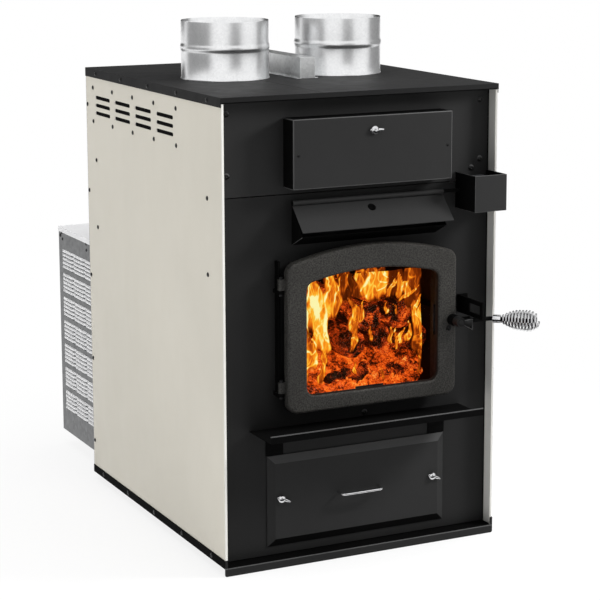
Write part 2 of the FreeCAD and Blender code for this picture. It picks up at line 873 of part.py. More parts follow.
def firebox():
    """Welded shell, the throat ring that the door seals on, bricks, ash plug, air tubes and baffle."""
    shell = block("shell_out", ("box_left", "box_right"), ("box_front", "box_rear"),
                  ("firebox_bottom", "box_top"))
    room = block("shell_room", ("hearth_left", "hearth_right"), ("hearth_front", "hearth_rear"),
                 ("hearth_floor", "box_top - firebox_wall"))
    ring_x = ("door_offset - throat_half - throat_wall", "door_offset + throat_half + throat_wall")
    ring_z = ("throat_bottom - throat_wall", "throat_top + throat_wall")
    mouth = block("shell_mouth", ring_x, ("box_front - sheet", "hearth_front"), ring_z)
    plug_x = (plug_edge(-1, "plug_lap"), plug_edge(1, "plug_lap"))
    plug_y = ("hearth_front + plug_lap", "hearth_front + brick_depth - plug_lap")
    drop = block("shell_drop", plug_x, plug_y, ("firebox_bottom - sheet", "hearth_floor"))
    port = block("shell_port", ("smoke_left + smoke_box_wall", "smoke_right - smoke_box_wall"),
                 ("box_front + smoke_box_wall + firebox_wall",
                  "box_front + smoke_box_depth - smoke_box_wall"),
                 ("box_top - firebox_wall", "box_top + sheet"))
    piece(cut("firebox_shell", shell, room, mouth, drop, port))
    ring = block("ring_out", ring_x, ("throat_front", "hearth_front"), ring_z)
    clear = block("ring_in", ("door_offset - throat_half", "door_offset + throat_half"),
                  ("throat_front - sheet", "hearth_front + sheet"), ("throat_bottom", "throat_top"))
    piece(cut("throat_ring", ring, clear))
    piece(group("firebricks", floor_bricks() + wall_bricks()))
    piece(block("ash_plug", (plug_edge(-1, "brick_gap"), plug_edge(1, "brick_gap")),
                ("hearth_front + brick_gap", "hearth_front + brick_depth - brick_gap"),
                ("hearth_floor", "brick_top")))
    tubes = [
        rod(f"air_tube_{index}", "X", "air_tube_radius", "hearth_right - hearth_left", "hearth_left",
            f"hearth_front + air_tube_setback + {index} * air_tube_pitch", "air_tube_height")
        for index in range(AIR_TUBES)
    ]
    piece(group("secondary_air_tubes", tubes))
    boards = [
        block(f"baffle_{name}", across, ("hearth_front + baffle_setback", "hearth_rear"),
              ("baffle_seat", "baffle_seat + baffle_thickness"))
        for name, across in (("left", ("hearth_left", "door_offset - brick_gap")),
                             ("right", ("door_offset", "hearth_right")))
    ]
    piece(group("baffle_boards", boards))


def plug_edge(side, inset):
    """X of one edge of the middle front floor cell, drawn in by an inset."""
    return f"door_offset + {side} * (brick_width / 2 - {inset})"


def floor_bricks():
    """Bricks that tile the hearth floor, without the middle front cell, which holds the ash plug."""
    bricks = []
    for column in range(BRICK_COLUMNS):
        for line in range(BRICK_ROWS):
            if column == BRICK_COLUMNS // 2 and line == 0:
                continue
            x = f"hearth_left + {column} * brick_width"
            y = f"hearth_front + {line} * brick_depth"
            bricks.append(block(f"floor_brick_{column}_{line}", (x, f"{x} + brick_width - brick_gap"),
                                (y, f"{y} + brick_depth - brick_gap"), ("hearth_floor", "brick_top")))
    return bricks


def wall_bricks():
    """Bricks that stand along both sides and the back of the hearth."""
    bricks = []
    tall = ("brick_top", "brick_top + brick_height")
    for line in range(BRICK_ROWS):
        y = f"hearth_front + {line} * brick_depth"
        deep = (y, f"{y} + brick_depth - brick_gap")
        bricks.append(block(f"left_brick_{line}", ("hearth_left", "hearth_left + brick_thickness"), deep,
                            tall))
        bricks.append(block(f"right_brick_{line}", ("hearth_right - brick_thickness", "hearth_right"), deep,
                            tall))
    room = "(hearth_right - hearth_left - 2 * brick_thickness)"
    for column in range(BRICK_COLUMNS):
        x = f"hearth_left + brick_thickness + {column} * {room} / brick_columns"
        wide = (f"{x} + brick_gap / 2", f"{x} + {room} / brick_columns - brick_gap / 2")
        bricks.append(block(f"back_brick_{column}", wide, ("hearth_rear - brick_thickness", "hearth_rear"),
                            tall))
    return bricks


def heat_exchanger():
    """Front and rear smoke boxes, the tubes between them, the flue collar and the clean-out plate."""
    wide = ("smoke_left", "smoke_right")
    inside = ("smoke_left + smoke_box_wall", "smoke_right - smoke_box_wall")
    roof = ("box_top - sheet", "smoke_top - smoke_box_wall")
    boxes = []
    for name, start in (("front", "box_front"), ("rear", "smoke_rear_front")):
        shell = block(f"smoke_{name}_out", wide, (start, f"{start} + smoke_box_depth"),
                      ("box_top", "smoke_top"))
        room = block(f"smoke_{name}_room", inside,
                     (f"{start} + smoke_box_wall", f"{start} + smoke_box_depth - smoke_box_wall"), roof)
        wall = f"{start} + smoke_box_depth - smoke_box_wall" if name == "front" else start
        ports = [
            rod(f"smoke_{name}_port_{index}", "Y", "exchanger_radius - exchanger_wall",
                "3 * smoke_box_wall",
                tube_x(index), f"{wall} - smoke_box_wall", "exchanger_height")
            for index in range(EXCHANGER_TUBES)
        ]
        boxes.append(cut(f"smoke_box_{name}", shell, room, smoke_mouth(name), *ports))
    piece(group("smoke_boxes", boxes))
    length = "smoke_rear_front - box_front - smoke_box_depth"
    tubes = [
        pipe(f"exchanger_tube_{index}", "exchanger_radius", "exchanger_wall", length, tube_x(index),
             "box_front + smoke_box_depth")
        for index in range(EXCHANGER_TUBES)
    ]
    piece(group("exchanger_tubes", tubes))
    piece(pipe("flue_collar", "flue_radius + flue_wall", "flue_wall", "rear - box_rear + flue_reach",
               "door_offset", "box_rear"))
    lap = "cleanout_lap"
    piece(block("cleanout_plate",
                (f"cover_x - cleanout_width / 2 - {lap}", f"cover_x + cleanout_width / 2 + {lap}"),
                ("box_front - cleanout_plate_thickness", "box_front"),
                (f"cleanout_bottom - {lap}", f"cleanout_bottom + cleanout_height + {lap}")))


def tube_x(index):
    """X of one exchanger tube."""
    return f"door_offset + {index - (EXCHANGER_TUBES - 1) / 2} * exchanger_pitch"


def smoke_mouth(name):
    """Clean-out mouth of the front smoke box, or flue mouth of the rear one."""
    if name == "front":
        return block("smoke_front_mouth", ("cover_x - cleanout_width / 2", "cover_x + cleanout_width / 2"),
                     ("box_front - sheet", "box_front + smoke_box_wall + sheet"),
                     ("cleanout_bottom", "cleanout_bottom + cleanout_height"))
    return rod("smoke_rear_mouth", "Y", "flue_radius", "3 * smoke_box_wall", "door_offset",
               "box_rear - 2 * smoke_box_wall", "exchanger_height")


def pipe(name, radius, wall, length, x, y):
    """Round pipe along Y at the exchanger's height."""
    return cut(
        name,
        rod(name + "_out", "Y", radius, length, x, y, "exchanger_height"),
        rod(name + "_bore", "Y", f"{radius} - {wall}", f"{length} + 2 * sheet", x, f"{y} - sheet",
            "exchanger_height"),
    )


def fire():
    """Deep ember bed that slopes down to the door, and logs stacked on it that lie front to back."""
    slope = [("ember_front", "brick_top"), ("ember_front", "brick_top + ember_front_height"),
             ("ember_front + ember_slope", "ember_top"), ("ember_front + ember_depth", "ember_top"),
             ("ember_front + ember_depth", "brick_top")]
    piece(plate("ember_bed", "YZ_Plane", slope, "door_offset - ember_width / 2",
                "door_offset + ember_width / 2"))
    rise = "sqrt((2 * log_radius + seat_gap)^2 - (log_pitch / 2)^2)"
    logs = []
    for row, count in enumerate(LOG_ROWS):
        for index in range(count):
            x = f"log_right - {index + row / 2} * log_pitch"
            logs.append(rod(f"log_{row}_{index}", "Y", "log_radius", "log_length", x, "log_front",
                            f"log_z + {row} * {rise}"))
    piece(group("split_logs", logs))


# Loading door

def arched(name, half, low, high, radius, y, corner):
    """Flat block about the door's middle with an arched top and rounded corners."""
    slab = block(name + "_slab", (f"door_offset - ({half})", f"door_offset + {half}"), y, (low, high))
    arch = rod(name + "_arch", "Y", radius, f"({y[1]}) - ({y[0]})", "door_offset", y[0],
               f"({high}) - ({radius})")
    return rounded(name, overlap(name + "_blank", slab, arch), corner, along(Vector(0, 1, 0)))


def door():
    """Cast frame with hinge lugs, glass, gaskets, clips and the latch boss."""
    deep = ("door_front", "door_back")
    frame = arched("door_frame", "door_width / 2", "door_bottom", "door_top", "arch_radius", deep,
                   "door_corner")
    view = arched("door_view", "view_half", "view_bottom", "view_top", "arch_radius - top_rail", deep,
                  "opening_corner")
    window = cut("door_window", frame, view)
    softened = rounded("door_softened", window, "door_edge", on_front(value("door_front")))
    rebate = block("door_rebate", ("door_offset - glass_half - seat_gap",
                                   "door_offset + glass_half + seat_gap"),
                   ("glass_front - glass_pad", "door_back"),
                   ("glass_bottom - seat_gap", "glass_top + seat_gap"))
    hole = rod("door_spindle_hole", "Y", "bar_radius + run_gap", "door_thickness", "spindle_x",
               "door_front",
               "spindle_height")
    shell = cut("door_shell", softened, rebate, hole)
    lugs = [hinge_lug(name, z) for name, z in (("lower", "lower_lug"), ("upper", "upper_lug"))]
    bores = [
        rod(f"{name}_lug_bore", "Z", "pin_radius + run_gap", "lug_height", "hinge_x", "hinge_y", z)
        for name, z in (("lower", "lower_lug"), ("upper", "upper_lug"))
    ]
    piece(cut("door_casting", join("door_with_lugs", shell, *lugs), *bores))
    glass_x = ("door_offset - glass_half", "door_offset + glass_half")
    glass_z = ("glass_bottom", "glass_top")
    piece(block("door_glass", glass_x, ("glass_front", "door_back"), glass_z))
    pad_y = ("glass_front - glass_pad", "glass_front")
    pad = block("pad_out", glass_x, pad_y, glass_z)
    hollow = block("pad_in", ("door_offset - view_half - seat_gap", "door_offset + view_half + seat_gap"),
                   pad_y,
                   ("view_bottom - seat_gap", "view_top + seat_gap"))
    rope_y = ("door_back", "door_back + rope_thickness")
    rope = block("rope_out", ("door_offset - rope_eye - rope_width", "door_offset + rope_eye + rope_width"),
                 rope_y,
                 ("rope_low - rope_width", "rope_high + rope_width"))
    eye = block("rope_in", ("door_offset - rope_eye", "door_offset + rope_eye"), rope_y,
                ("rope_low", "rope_high"))
    piece(group("door_gaskets", [cut("glass_pad_ring", pad, hollow), cut("rope_ring", rope, eye)]))
    piece(group("glass_clips", glass_clips()))
    boss = [("bar_radius + run_gap", "0"), ("boss_radius", "0"), ("boss_radius", "boss_length - glass_pad"),
            ("boss_radius - glass_pad", "boss_length"), ("bar_radius + run_gap", "boss_length")]
    piece(turned("latch_boss", boss, "-Y", "spindle_x", "door_front", "spindle_height"))


def hinge_lug(name, z):
    """Knuckle at the hinge axis with a web to the door's edge."""
    tall = (z, f"{z} + lug_height")
    return join(
        f"{name}_lug",
        rod(f"{name}_lug_round", "Z", "knuckle_radius", "lug_height", "hinge_x", "hinge_y", z),
        block(f"{name}_lug_web", ("hinge_x", "door_left + door_edge"),
              ("hinge_y - knuckle_radius", "hinge_y"), tall),
    )


def glass_clips():
    """Four flat clips that hold the glass against the casting's back, inside the rope gasket."""
    clips = []
    middle = "(glass_bottom + glass_top) / 2"
    y = ("door_back", "door_back + clip_thickness")
    half = "clip_length / 2"
    tall = (f"{middle} - {half}", f"{middle} + {half}")
    wide = (f"door_offset - {half}", f"door_offset + {half}")
    outer = "rope_eye - seat_gap"
    clips.append(block("clip_left", (f"door_offset - ({outer})", f"door_offset - ({outer}) + clip_width"),
                       y, tall))
    clips.append(block("clip_right", (f"door_offset + {outer} - clip_width", f"door_offset + {outer}"), y,
                       tall))
    clips.append(block("clip_low", wide, y, ("rope_low + seat_gap", "rope_low + seat_gap + clip_width")))
    clips.append(block("clip_high", wide, y, ("rope_high - seat_gap - clip_width", "rope_high - seat_gap")))
    return clips


def door_hinge():
    """Bar on the front panel with two ears, and the pins that the door's lugs turn on."""
    ears = []
    pins = []
    bores = []
    for name, z in (("lower", "lower_lug"), ("upper", "upper_lug")):
        low = f"{z} - seat_gap - ear_height"
        across = ("hinge_x - knuckle_radius", "hinge_x + knuckle_radius")
        ears.append(block(f"{name}_ear", across, ("hinge_y", "face"), (low, f"{low} + ear_height")))
        ears.append(rod(f"{name}_ear_round", "Z", "knuckle_radius", "ear_height", "hinge_x", "hinge_y",
                        low))
        length = "ear_height + seat_gap + lug_height + 2 * pin_overhang"
        pins.append(rod(f"{name}_pin", "Z", "pin_radius", length, "hinge_x", "hinge_y",
                        f"{low} - pin_overhang"))
        bores.append(rod(f"{name}_ear_bore", "Z", "pin_radius + run_gap", "ear_height", "hinge_x",
                         "hinge_y", low))
    bar = block("hinge_strip", ("hinge_x - hinge_bar_width / 2", "hinge_x + hinge_bar_width / 2"),
                ("hinge_y + knuckle_radius + hinge_bar_gap", "face"),
                ("hinge_bar_bottom", "hinge_bar_bottom + hinge_bar_height"))
    piece(cut("hinge_bar", join("hinge_bar_raw", bar, *ears), *bores))
    piece(group("hinge_pins", pins))


# Latch of the loading door

def latch():
    """Catch on the front panel, bent handle bar with its cam, ferrule and coil grip."""
    catch_y = ("face - catch_reach", "face")
    catch_z = ("catch_bottom", "catch_bottom + catch_height")
    ear = join(
        "catch_raw",
        block("catch_ear", ("catch_x", "catch_x + catch_thickness"), catch_y, catch_z),
        block("catch_foot_plate", ("catch_x", "catch_x + catch_foot"), ("face - catch_thickness", "face"),
              catch_z),
    )
    window = block("catch_window_cut", ("catch_x - sheet", "catch_x + catch_thickness + sheet"),
                   ("face - catch_reach + catch_margin",
                    "face - catch_reach + catch_margin + catch_window"),
                   ("catch_bottom + catch_margin", "catch_bottom + catch_height - catch_margin"))
    piece(cut("latch_catch", ear, window))
    turn = math.radians(value("grip_angle"))
    heading = Vector(math.cos(turn), -math.sin(turn), 0)
    elbow = Vector(value("spindle_x + bar_reach"), value("bar_y"), value("spindle_height"))
    tip = elbow + heading * value("ferrule_start + ferrule_length + grip_length - bar_bend")
    bar = bent_bar("handle_rod", [
        ("spindle_x", "door_back + bar_tail", "spindle_height"),
        ("spindle_x", "bar_y", "spindle_height"),
        ("spindle_x + bar_reach", "bar_y", "spindle_height"),
        (tip.x, tip.y, tip.z),
    ], "bar_bend", "bar_radius")
    cam_y = ("boss_front - seat_gap - cam_thickness", "boss_front - seat_gap")
    finger = block("cam_finger", ("spindle_x", "spindle_x + cam_length"), cam_y,
                   ("spindle_height - cam_height / 2", "spindle_height + cam_height / 2"))
    hub = rod("cam_hub_disc", "Y", "cam_hub", "cam_thickness", "spindle_x", cam_y[0], "spindle_height")
    piece(join("handle_bar", bar, finger, hub))
    sleeve = doc.addObject("Part::Feature", "handle_ferrule")
    outer = Part.makeCylinder(value("ferrule_radius"), value("ferrule_length"), Vector(), Vector(0, 0, 1))
    bore = Part.makeCylinder(value("bar_radius + run_gap"), value("ferrule_length"), Vector(),
                             Vector(0, 0, 1))
    sleeve.Shape = outer.cut(bore)
    aim = Rotation(Vector(0, 0, 1), heading)
    sleeve.Placement = Placement(elbow + heading * value("ferrule_start"), aim)
    piece(sleeve)
    grip = doc.addObject("Part::Feature", "coil_grip")
    grip.Shape = coil()
    start = value("ferrule_start + ferrule_length + grip_wire / 2 + seat_gap")
    grip.Placement = Placement(elbow + heading * start, aim)
    piece(grip)


def coil_point(share):
    """Point on the barrel coil's centre line at a share of its length, with the coil's axis along Z."""
    slim = value("bar_radius + grip_wire / 2 + seat_gap")
    full = value("grip_radius - grip_wire / 2")
    radius = slim + (full - slim) * math.sin(math.pi * share)
    angle = 2 * math.pi * GRIP_COILS * share
    return Vector(radius * math.cos(angle), radius * math.sin(angle),
                  value("grip_length - grip_wire") * share)


def coil_heading(share):
    """Unit tangent of the barrel coil's centre line."""
    step = 1e-5
    return (coil_point(share + step) - coil_point(share - step)).normalize()


def arc_from(start, heading, end):
    """Arc that leaves start along heading and ends at end."""
    chord = end - start
    side = (heading - chord * (heading.dot(chord) / chord.dot(chord))).normalize()
    swell = chord.Length / 2 * math.tan(heading.getAngle(chord) / 2)
    return Part.Arc(start, start + chord * 0.5 + side * swell, end).toShape()


def biarc(start, start_heading, end, end_heading):
    """Two arcs that join two points with the given headings."""
    span = end - start
    both = start_heading + end_heading
    spread = 2 * (1 - start_heading.dot(end_heading))
    lean = span.dot(both)
    arm = (-lean + math.sqrt(lean * lean + spread * span.dot(span))) / spread
    meet = (start + start_heading * arm + end - end_heading * arm) * 0.5
    back = arc_from(end, end_heading * -1, meet)
    middle = back.valueAt((back.FirstParameter + back.LastParameter) / 2)
    return [arc_from(start, start_heading, meet), Part.Arc(meet, middle, end).toShape()]


def coil():
    """Barrel spring of one unbroken wire, with a short straight run at each end."""
    steps = GRIP_COILS * QUARTERS
    wire = value("grip_wire")
    spots = [coil_point(step / steps) for step in range(steps + 1)]
    headings = [coil_heading(step / steps) for step in range(steps + 1)]
    first = spots[0] - headings[0] * wire
    edges = [Part.LineSegment(first, spots[0]).toShape()]
    for step in range(steps):
        edges += biarc(spots[step], headings[step], spots[step + 1], headings[step + 1])
    edges.append(Part.LineSegment(spots[-1], spots[-1] + headings[-1] * wire).toShape())
    ring = Part.Wire([Part.Circle(first, headings[0], wire / 2).toShape()])
    print(f"coil grip: least gap between turns {coil_gap(wire):.2f} mm")
    return Part.Wire(edges).makePipeShell([ring], True, False)


def coil_gap(wire):
    """Least gap between the coil's own turns, measured on points of its centre line."""
    per_turn = 36
    count = GRIP_COILS * per_turn
    points = [coil_point(index / count) for index in range(count + 1)]
    least = min(
        (points[index] - other).Length
        for index in range(count - per_turn // 2)
        for other in points[index + per_turn // 2:index + 2 * per_turn]
    )
    return least - wire


# Hearth shelf

def hearth_shelf():
    """Shelf with an upturned lip and two brackets turned down flat against the front panel."""
    wide = ("-shelf_width / 2", "shelf_width / 2")
    parts = [
        block("shelf_floor", wide, ("shelf_front", "face"), ("shelf_height - shelf_plate", "shelf_height")),
        block("shelf_lip_bar", wide, ("shelf_front", "shelf_front + shelf_plate"),
              ("shelf_height - shelf_plate", "shelf_height + shelf_lip")),
    ]
    for side, x in (("left", "-bracket_x"), ("right", "bracket_x")):
        parts.append(block(f"shelf_bracket_{side}", (f"{x} - bracket_width / 2", f"{x} + bracket_width / 2"),
                           ("face - bracket_plate", "face"), ("bracket_bottom", "shelf_height - shelf_plate")))
    piece(join("hearth_shelf", *parts))


# Ash drawer

def ash_drawer():
    """Bevelled front, ash pan behind it, bar handle, wing latches, and the rails the pan slides on."""
    front = doc.addObject("PartDesign::Body", "drawer_blank")
    outer = rectangle("drawer_width / 2", "0", "drawer_height")
    inner = rectangle("drawer_width / 2 - bevel_width", "bevel_width", "drawer_height - bevel_width")
    pad = front.newObject("PartDesign::Pad", "drawer_pad")
    pad.Profile = outline(front, "XZ_Plane", outer)
    pad.setExpression("Length", resolve("drawer_plate"))
    rim = outline(front, "XZ_Plane", outer, "drawer_plate")
    crown = outline(front, "XZ_Plane", inner, "drawer_plate + bevel_rise")
    bevel = front.newObject("PartDesign::AdditiveLoft", "drawer_bevel")
    bevel.Profile = rim
    bevel.Sections = [crown]
    bevel.Ruled = True
    place(front, "Z", "0", "drawer_back", "drawer_bottom")
    holes = [
        rod(f"drawer_hole_{side}", "Y", "latch_stem + run_gap", "drawer_back - drawer_face",
            f"{side} * drawer_latch_x", "drawer_face", "drawer_latch_height")
        for side in (-1, 1)
    ]
    piece(cut("drawer_front", front, *holes))
    pan = block("pan_out", ("-pan_width / 2", "pan_width / 2"), ("drawer_back", "drawer_back + pan_depth"),
                ("pan_seat", "pan_seat + pan_height"))
    room = block("pan_room", ("-pan_width / 2 + pan_wall", "pan_width / 2 - pan_wall"),
                 ("drawer_back + pan_wall", "drawer_back + pan_depth - pan_wall"),
                 ("pan_seat + pan_wall", "pan_seat + pan_height + pan_wall"))
    piece(cut("ash_pan", pan, room))
    reach = "drawer_face - handle_reach"
    grip = bent_bar("drawer_handle", [
        ("-handle_width / 2", "drawer_face", "handle_height"),
        ("-handle_width / 2", reach, "handle_height"),
        ("handle_width / 2", reach, "handle_height"),
        ("handle_width / 2", "drawer_face", "handle_height"),
    ], "handle_bend", "handle_radius")
    piece(grip)
    for name, side in (("drawer_latch_left", -1), ("drawer_latch_right", 1)):
        piece(wing_latch(name, "drawer_back - drawer_face", f"{side} * drawer_latch_x", "drawer_face",
                         "drawer_latch_height"))
    rails = []
    for side, x in (("left", "-pan_width / 2"), ("right", "pan_width / 2 - rail_width")):
        rails.append(block(f"rail_{side}", (x, f"{x} + rail_width"),
                           ("face_back + post_depth", "drawer_back + pan_depth"), ("floor", "pan_floor")))
    piece(group("ash_rails", rails))


def rectangle(half, low, high):
    """Corners of a rectangle about the sketch's upright axis."""
    return [(f"-({half})", low), (half, low), (half, high), (f"-({half})", high)]


def wing_latch(name, thickness, x, y, z):
    """Quarter-turn latch: domed head with an arm, a stem through the plate and a small cam behind it."""
    neck = f"-({thickness}) - seat_gap"
    section = [
        ("0", f"{neck} - latch_cam_thickness"), ("latch_cam", f"{neck} - latch_cam_thickness"),
        ("latch_cam", neck), ("latch_stem", neck), ("latch_stem", "seat_gap"), ("latch_radius", "seat_gap"),
        ("latch_radius", "latch_shoulder"), ("latch_crown", "latch_rise"), ("0", "latch_rise"),
    ]
    head = turned(name + "_head", section, "-Y", x, y, z)
    arm = block(name + "_arm", (x, f"{x} + latch_arm"),
                (f"{y} - latch_shoulder - latch_arm_thickness", f"{y} - latch_shoulder"),
                (f"{z} - latch_arm_width / 2", f"{z} + latch_arm_width / 2"))
    return join(name, head, arm)


# Clean-out cover

def cleanout():
    """Fixed frame round the clean-out mouth and the cover pan over it, with its wing latch."""
    frame_x = ("cover_left + frame_inset", "cover_right - frame_inset")
    frame_z = ("cover_bottom + frame_inset", "cover_top - frame_inset")
    ring = block("frame_out", frame_x, ("frame_front", "face"), frame_z)
    hollow = block("frame_in", (f"{frame_x[0]} + frame_wall", f"{frame_x[1]} - frame_wall"),
                   ("frame_front - sheet", "face + sheet"),
                   (f"{frame_z[0]} + frame_wall", f"{frame_z[1]} - frame_wall"))
    piece(cut("cleanout_frame", ring, hollow))
    pan = block("cover_out", ("cover_left", "cover_right"), ("cover_front", "cover_back"),
                ("cover_bottom", "cover_top"))
    room = block("cover_room", ("cover_left + sheet", "cover_right - sheet"),
                 ("cover_front + sheet", "cover_back + sheet"), ("cover_bottom + sheet",
                                                                 "cover_top - sheet"))
    hole = rod("cover_hole", "Y", "latch_stem + run_gap", "2 * sheet", "cover_x", "cover_front - sheet / 2",
               "cover_latch_height")
    piece(cut("cleanout_cover", pan, room, hole))
    piece(wing_latch("cover_latch", "sheet", "cover_x", "cover_front", "cover_latch_height"))


# Combustion-air intake

def air_intake():
    """Cheek box on the front panel, the flap on its shaft, and the actuator that turns it."""
    turn = "(flap_angle + flap_close)"
    gap = "(intake_slant_gap + shaft_radius + sleeve_wall)"
    lean_y = f"pivot_y + {gap} * sin({turn})"
    lean_z = f"pivot_z - {gap} * cos({turn})"
    nose_y = "face - intake_nose_reach"
    cheek = [("face", lean_z), (lean_y, lean_z), (nose_y, "intake_nose_height"), ("face", "intake_bottom")]
    floor = [("face", "intake_bottom"), (nose_y, "intake_nose_height"),
             (nose_y, "intake_nose_height + cheek_thickness"), ("face", "intake_bottom + cheek_thickness")]
    left = "flap_left + cheek_inset"
    right = "flap_right - cheek_inset"
    piece(join(
        "intake_box",
        plate("cheek_left", "YZ_Plane", cheek, left, f"{left} + cheek_thickness"),
        plate("cheek_right", "YZ_Plane", cheek, f"{right} - cheek_thickness", right),
        plate("intake_floor", "YZ_Plane", floor, left, right),
    ))
    piece(flap())
    piece(rod("flap_shaft", "X", "shaft_radius", "motor_left - seat_gap - flap_left", "flap_left",
              "pivot_y",
              "pivot_z"))
    side = ("actuator_left", "actuator_left + actuator_size")
    tall = ("actuator_bottom", "actuator_bottom + actuator_size")
    case = block("actuator_out", side, ("face - actuator_depth", "face"), tall)
    room = block("actuator_room", (f"{side[0]} + sheet", f"{side[1]} - sheet"),
                 ("face - actuator_depth + sheet", "face + sheet"), (f"{tall[0]} + sheet",
                                                                     f"{tall[1]} + sheet"))
    entry = rod("actuator_entry", "X", "shaft_radius + run_gap", "3 * sheet", "actuator_left - sheet",
                "pivot_y",
                "pivot_z")
    piece(cut("actuator_housing", case, room, entry))
    piece(block("damper_motor", ("motor_left", "motor_left + motor_size"), ("face - motor_depth", "face"),
                ("pivot_z - motor_size / 2", "pivot_z + motor_size / 2")))


def flap():
    """Sleeve round the shaft with a slanting plate that has a pilot hole near its top."""
    body = doc.addObject("PartDesign::Body", "flap_body")
    reach = "shaft_radius + sleeve_wall"
    blade = [("-flap_length", f"-({reach})"), ("0", f"-({reach})"), ("0", "-shaft_radius"),
             ("-flap_length", "-shaft_radius")]
    pad = body.newObject("PartDesign::Pad", "flap_pad")
    pad.Profile = outline(body, "YZ_Plane", blade)
    pad.setExpression("Length", resolve("flap_width"))
    body.Placement = Placement(Vector(), Rotation(Vector(1, 0, 0), value("flap_angle")))
    for axis, text in (("x", "flap_left"), ("y", "pivot_y"), ("z", "pivot_z")):
        body.setExpression(f"Placement.Base.{axis}", resolve(text))
    sleeve = rod("flap_sleeve", "X", reach, "flap_width", "flap_left", "pivot_y", "pivot_z")
    bore = rod("flap_bore", "X", "shaft_radius", "flap_width", "flap_left", "pivot_y", "pivot_z")
    pilot = doc.addObject("Part::Cylinder", "flap_pilot")
    pilot.setExpression("Radius", resolve("pilot_radius"))
    pilot.setExpression("Height", resolve("3 * sleeve_wall"))
    pilot.Placement = Placement(Vector(), Rotation(Vector(1, 0, 0), value("flap_angle")))
    below = f"({reach} + sleeve_wall)"
    along_y = f"pivot_y - pilot_drop * cos(flap_angle) + {below} * sin(flap_angle)"
    along_z = f"pivot_z - pilot_drop * sin(flap_angle) - {below} * cos(flap_angle)"
    for axis, text in (("x", "flap_x"), ("y", along_y), ("z", along_z)):
        pilot.setExpression(f"Placement.Base.{axis}", resolve(text))
    return cut("intake_flap", join("flap_raw", body, sleeve), bore, pilot)


# Blower cabinet

def blower_cabinet():
    """Galvanised cabinet behind the casing: body, louvred sides, lid and air filters."""
    deep = ("rear", "cabinet_rear")
    tall = ("cabinet_bottom", "cabinet_top")
    inside = ("-cabinet_half + cabinet_sheet", "cabinet_half - cabinet_sheet")
    flanges = []
    for side, across in (("left", (inside[0], f"{inside[0]} + cabinet_flange")),
                         ("right", (f"{inside[1]} - cabinet_flange", inside[1]))):
        flanges.append(block(f"cabinet_flange_{side}", across, ("rear", "rear + cabinet_sheet"), tall))
    piece(join(
        "blower_cabinet",
        block("cabinet_back", inside, ("cabinet_rear - cabinet_sheet", "cabinet_rear"), tall),
        block("cabinet_floor", inside, deep, ("cabinet_bottom", "cabinet_bottom + cabinet_sheet")),
        *flanges,
    ))
    piece(group("cabinet_sides", [
        louvred_side("left", "-cabinet_half"), louvred_side("right", "cabinet_half - cabinet_sheet")]))
    rim = "cabinet_lid_flange"
    piece(join(
        "cabinet_lid",
        block("lid_top", ("-cabinet_half - cabinet_sheet", "cabinet_half + cabinet_sheet"),
              ("rear", "cabinet_rear + cabinet_sheet"), ("cabinet_top", "cabinet_top + cabinet_sheet")),
        block("lid_back", ("-cabinet_half - cabinet_sheet", "cabinet_half + cabinet_sheet"),
              ("cabinet_rear", "cabinet_rear + cabinet_sheet"), (f"cabinet_top - {rim}", "cabinet_top")),
        block("lid_left", ("-cabinet_half - cabinet_sheet", "-cabinet_half"), deep,
              (f"cabinet_top - {rim}", "cabinet_top")),
        block("lid_right", ("cabinet_half", "cabinet_half + cabinet_sheet"), deep,
              (f"cabinet_top - {rim}", "cabinet_top")),
    ))
    filters = []
    for side, low in (("left", "-cabinet_half + cabinet_sheet + seat_gap"),
                      ("right", "cabinet_half - cabinet_sheet - seat_gap - filter_thickness")):
        filters.append(block(f"filter_{side}", (low, f"{low} + filter_thickness"),
                             ("rear + filter_margin", "cabinet_rear - filter_margin"),
                             ("cabinet_bottom + cabinet_sheet", "cabinet_top - filter_margin")))
    piece(group("air_filters", filters))


def louvred_side(side, x):
    """One cabinet side with its groups of louvre slots."""
    wall = block(f"cabinet_wall_{side}", (x, f"{x} + cabinet_sheet"), ("rear", "cabinet_rear"),
                 ("cabinet_bottom", "cabinet_top"))
    slots = []
    for column in range(LOUVRE_COLUMNS):
        far = f"cabinet_rear - louvre_rear_margin - {column} * (louvre_width + louvre_gap)"
        for bank in range(LOUVRE_GROUPS):
            for slat in range(LOUVRES_PER_GROUP):
                middle = f"louvre_first + {bank} * louvre_group_pitch + " \
                         f"{slat - (LOUVRES_PER_GROUP - 1) / 2} * louvre_pitch"
                slots.append(block(f"louvre_{side}_{column}_{bank}_{slat}",
                                   (f"{x} - cabinet_sheet", f"{x} + 2 * cabinet_sheet"),
                                   (f"{far} - louvre_width", far),
                                   (f"{middle} - louvre_height / 2", f"{middle} + louvre_height / 2")))
    return cut(f"cabinet_side_{side}", wall, *slots)


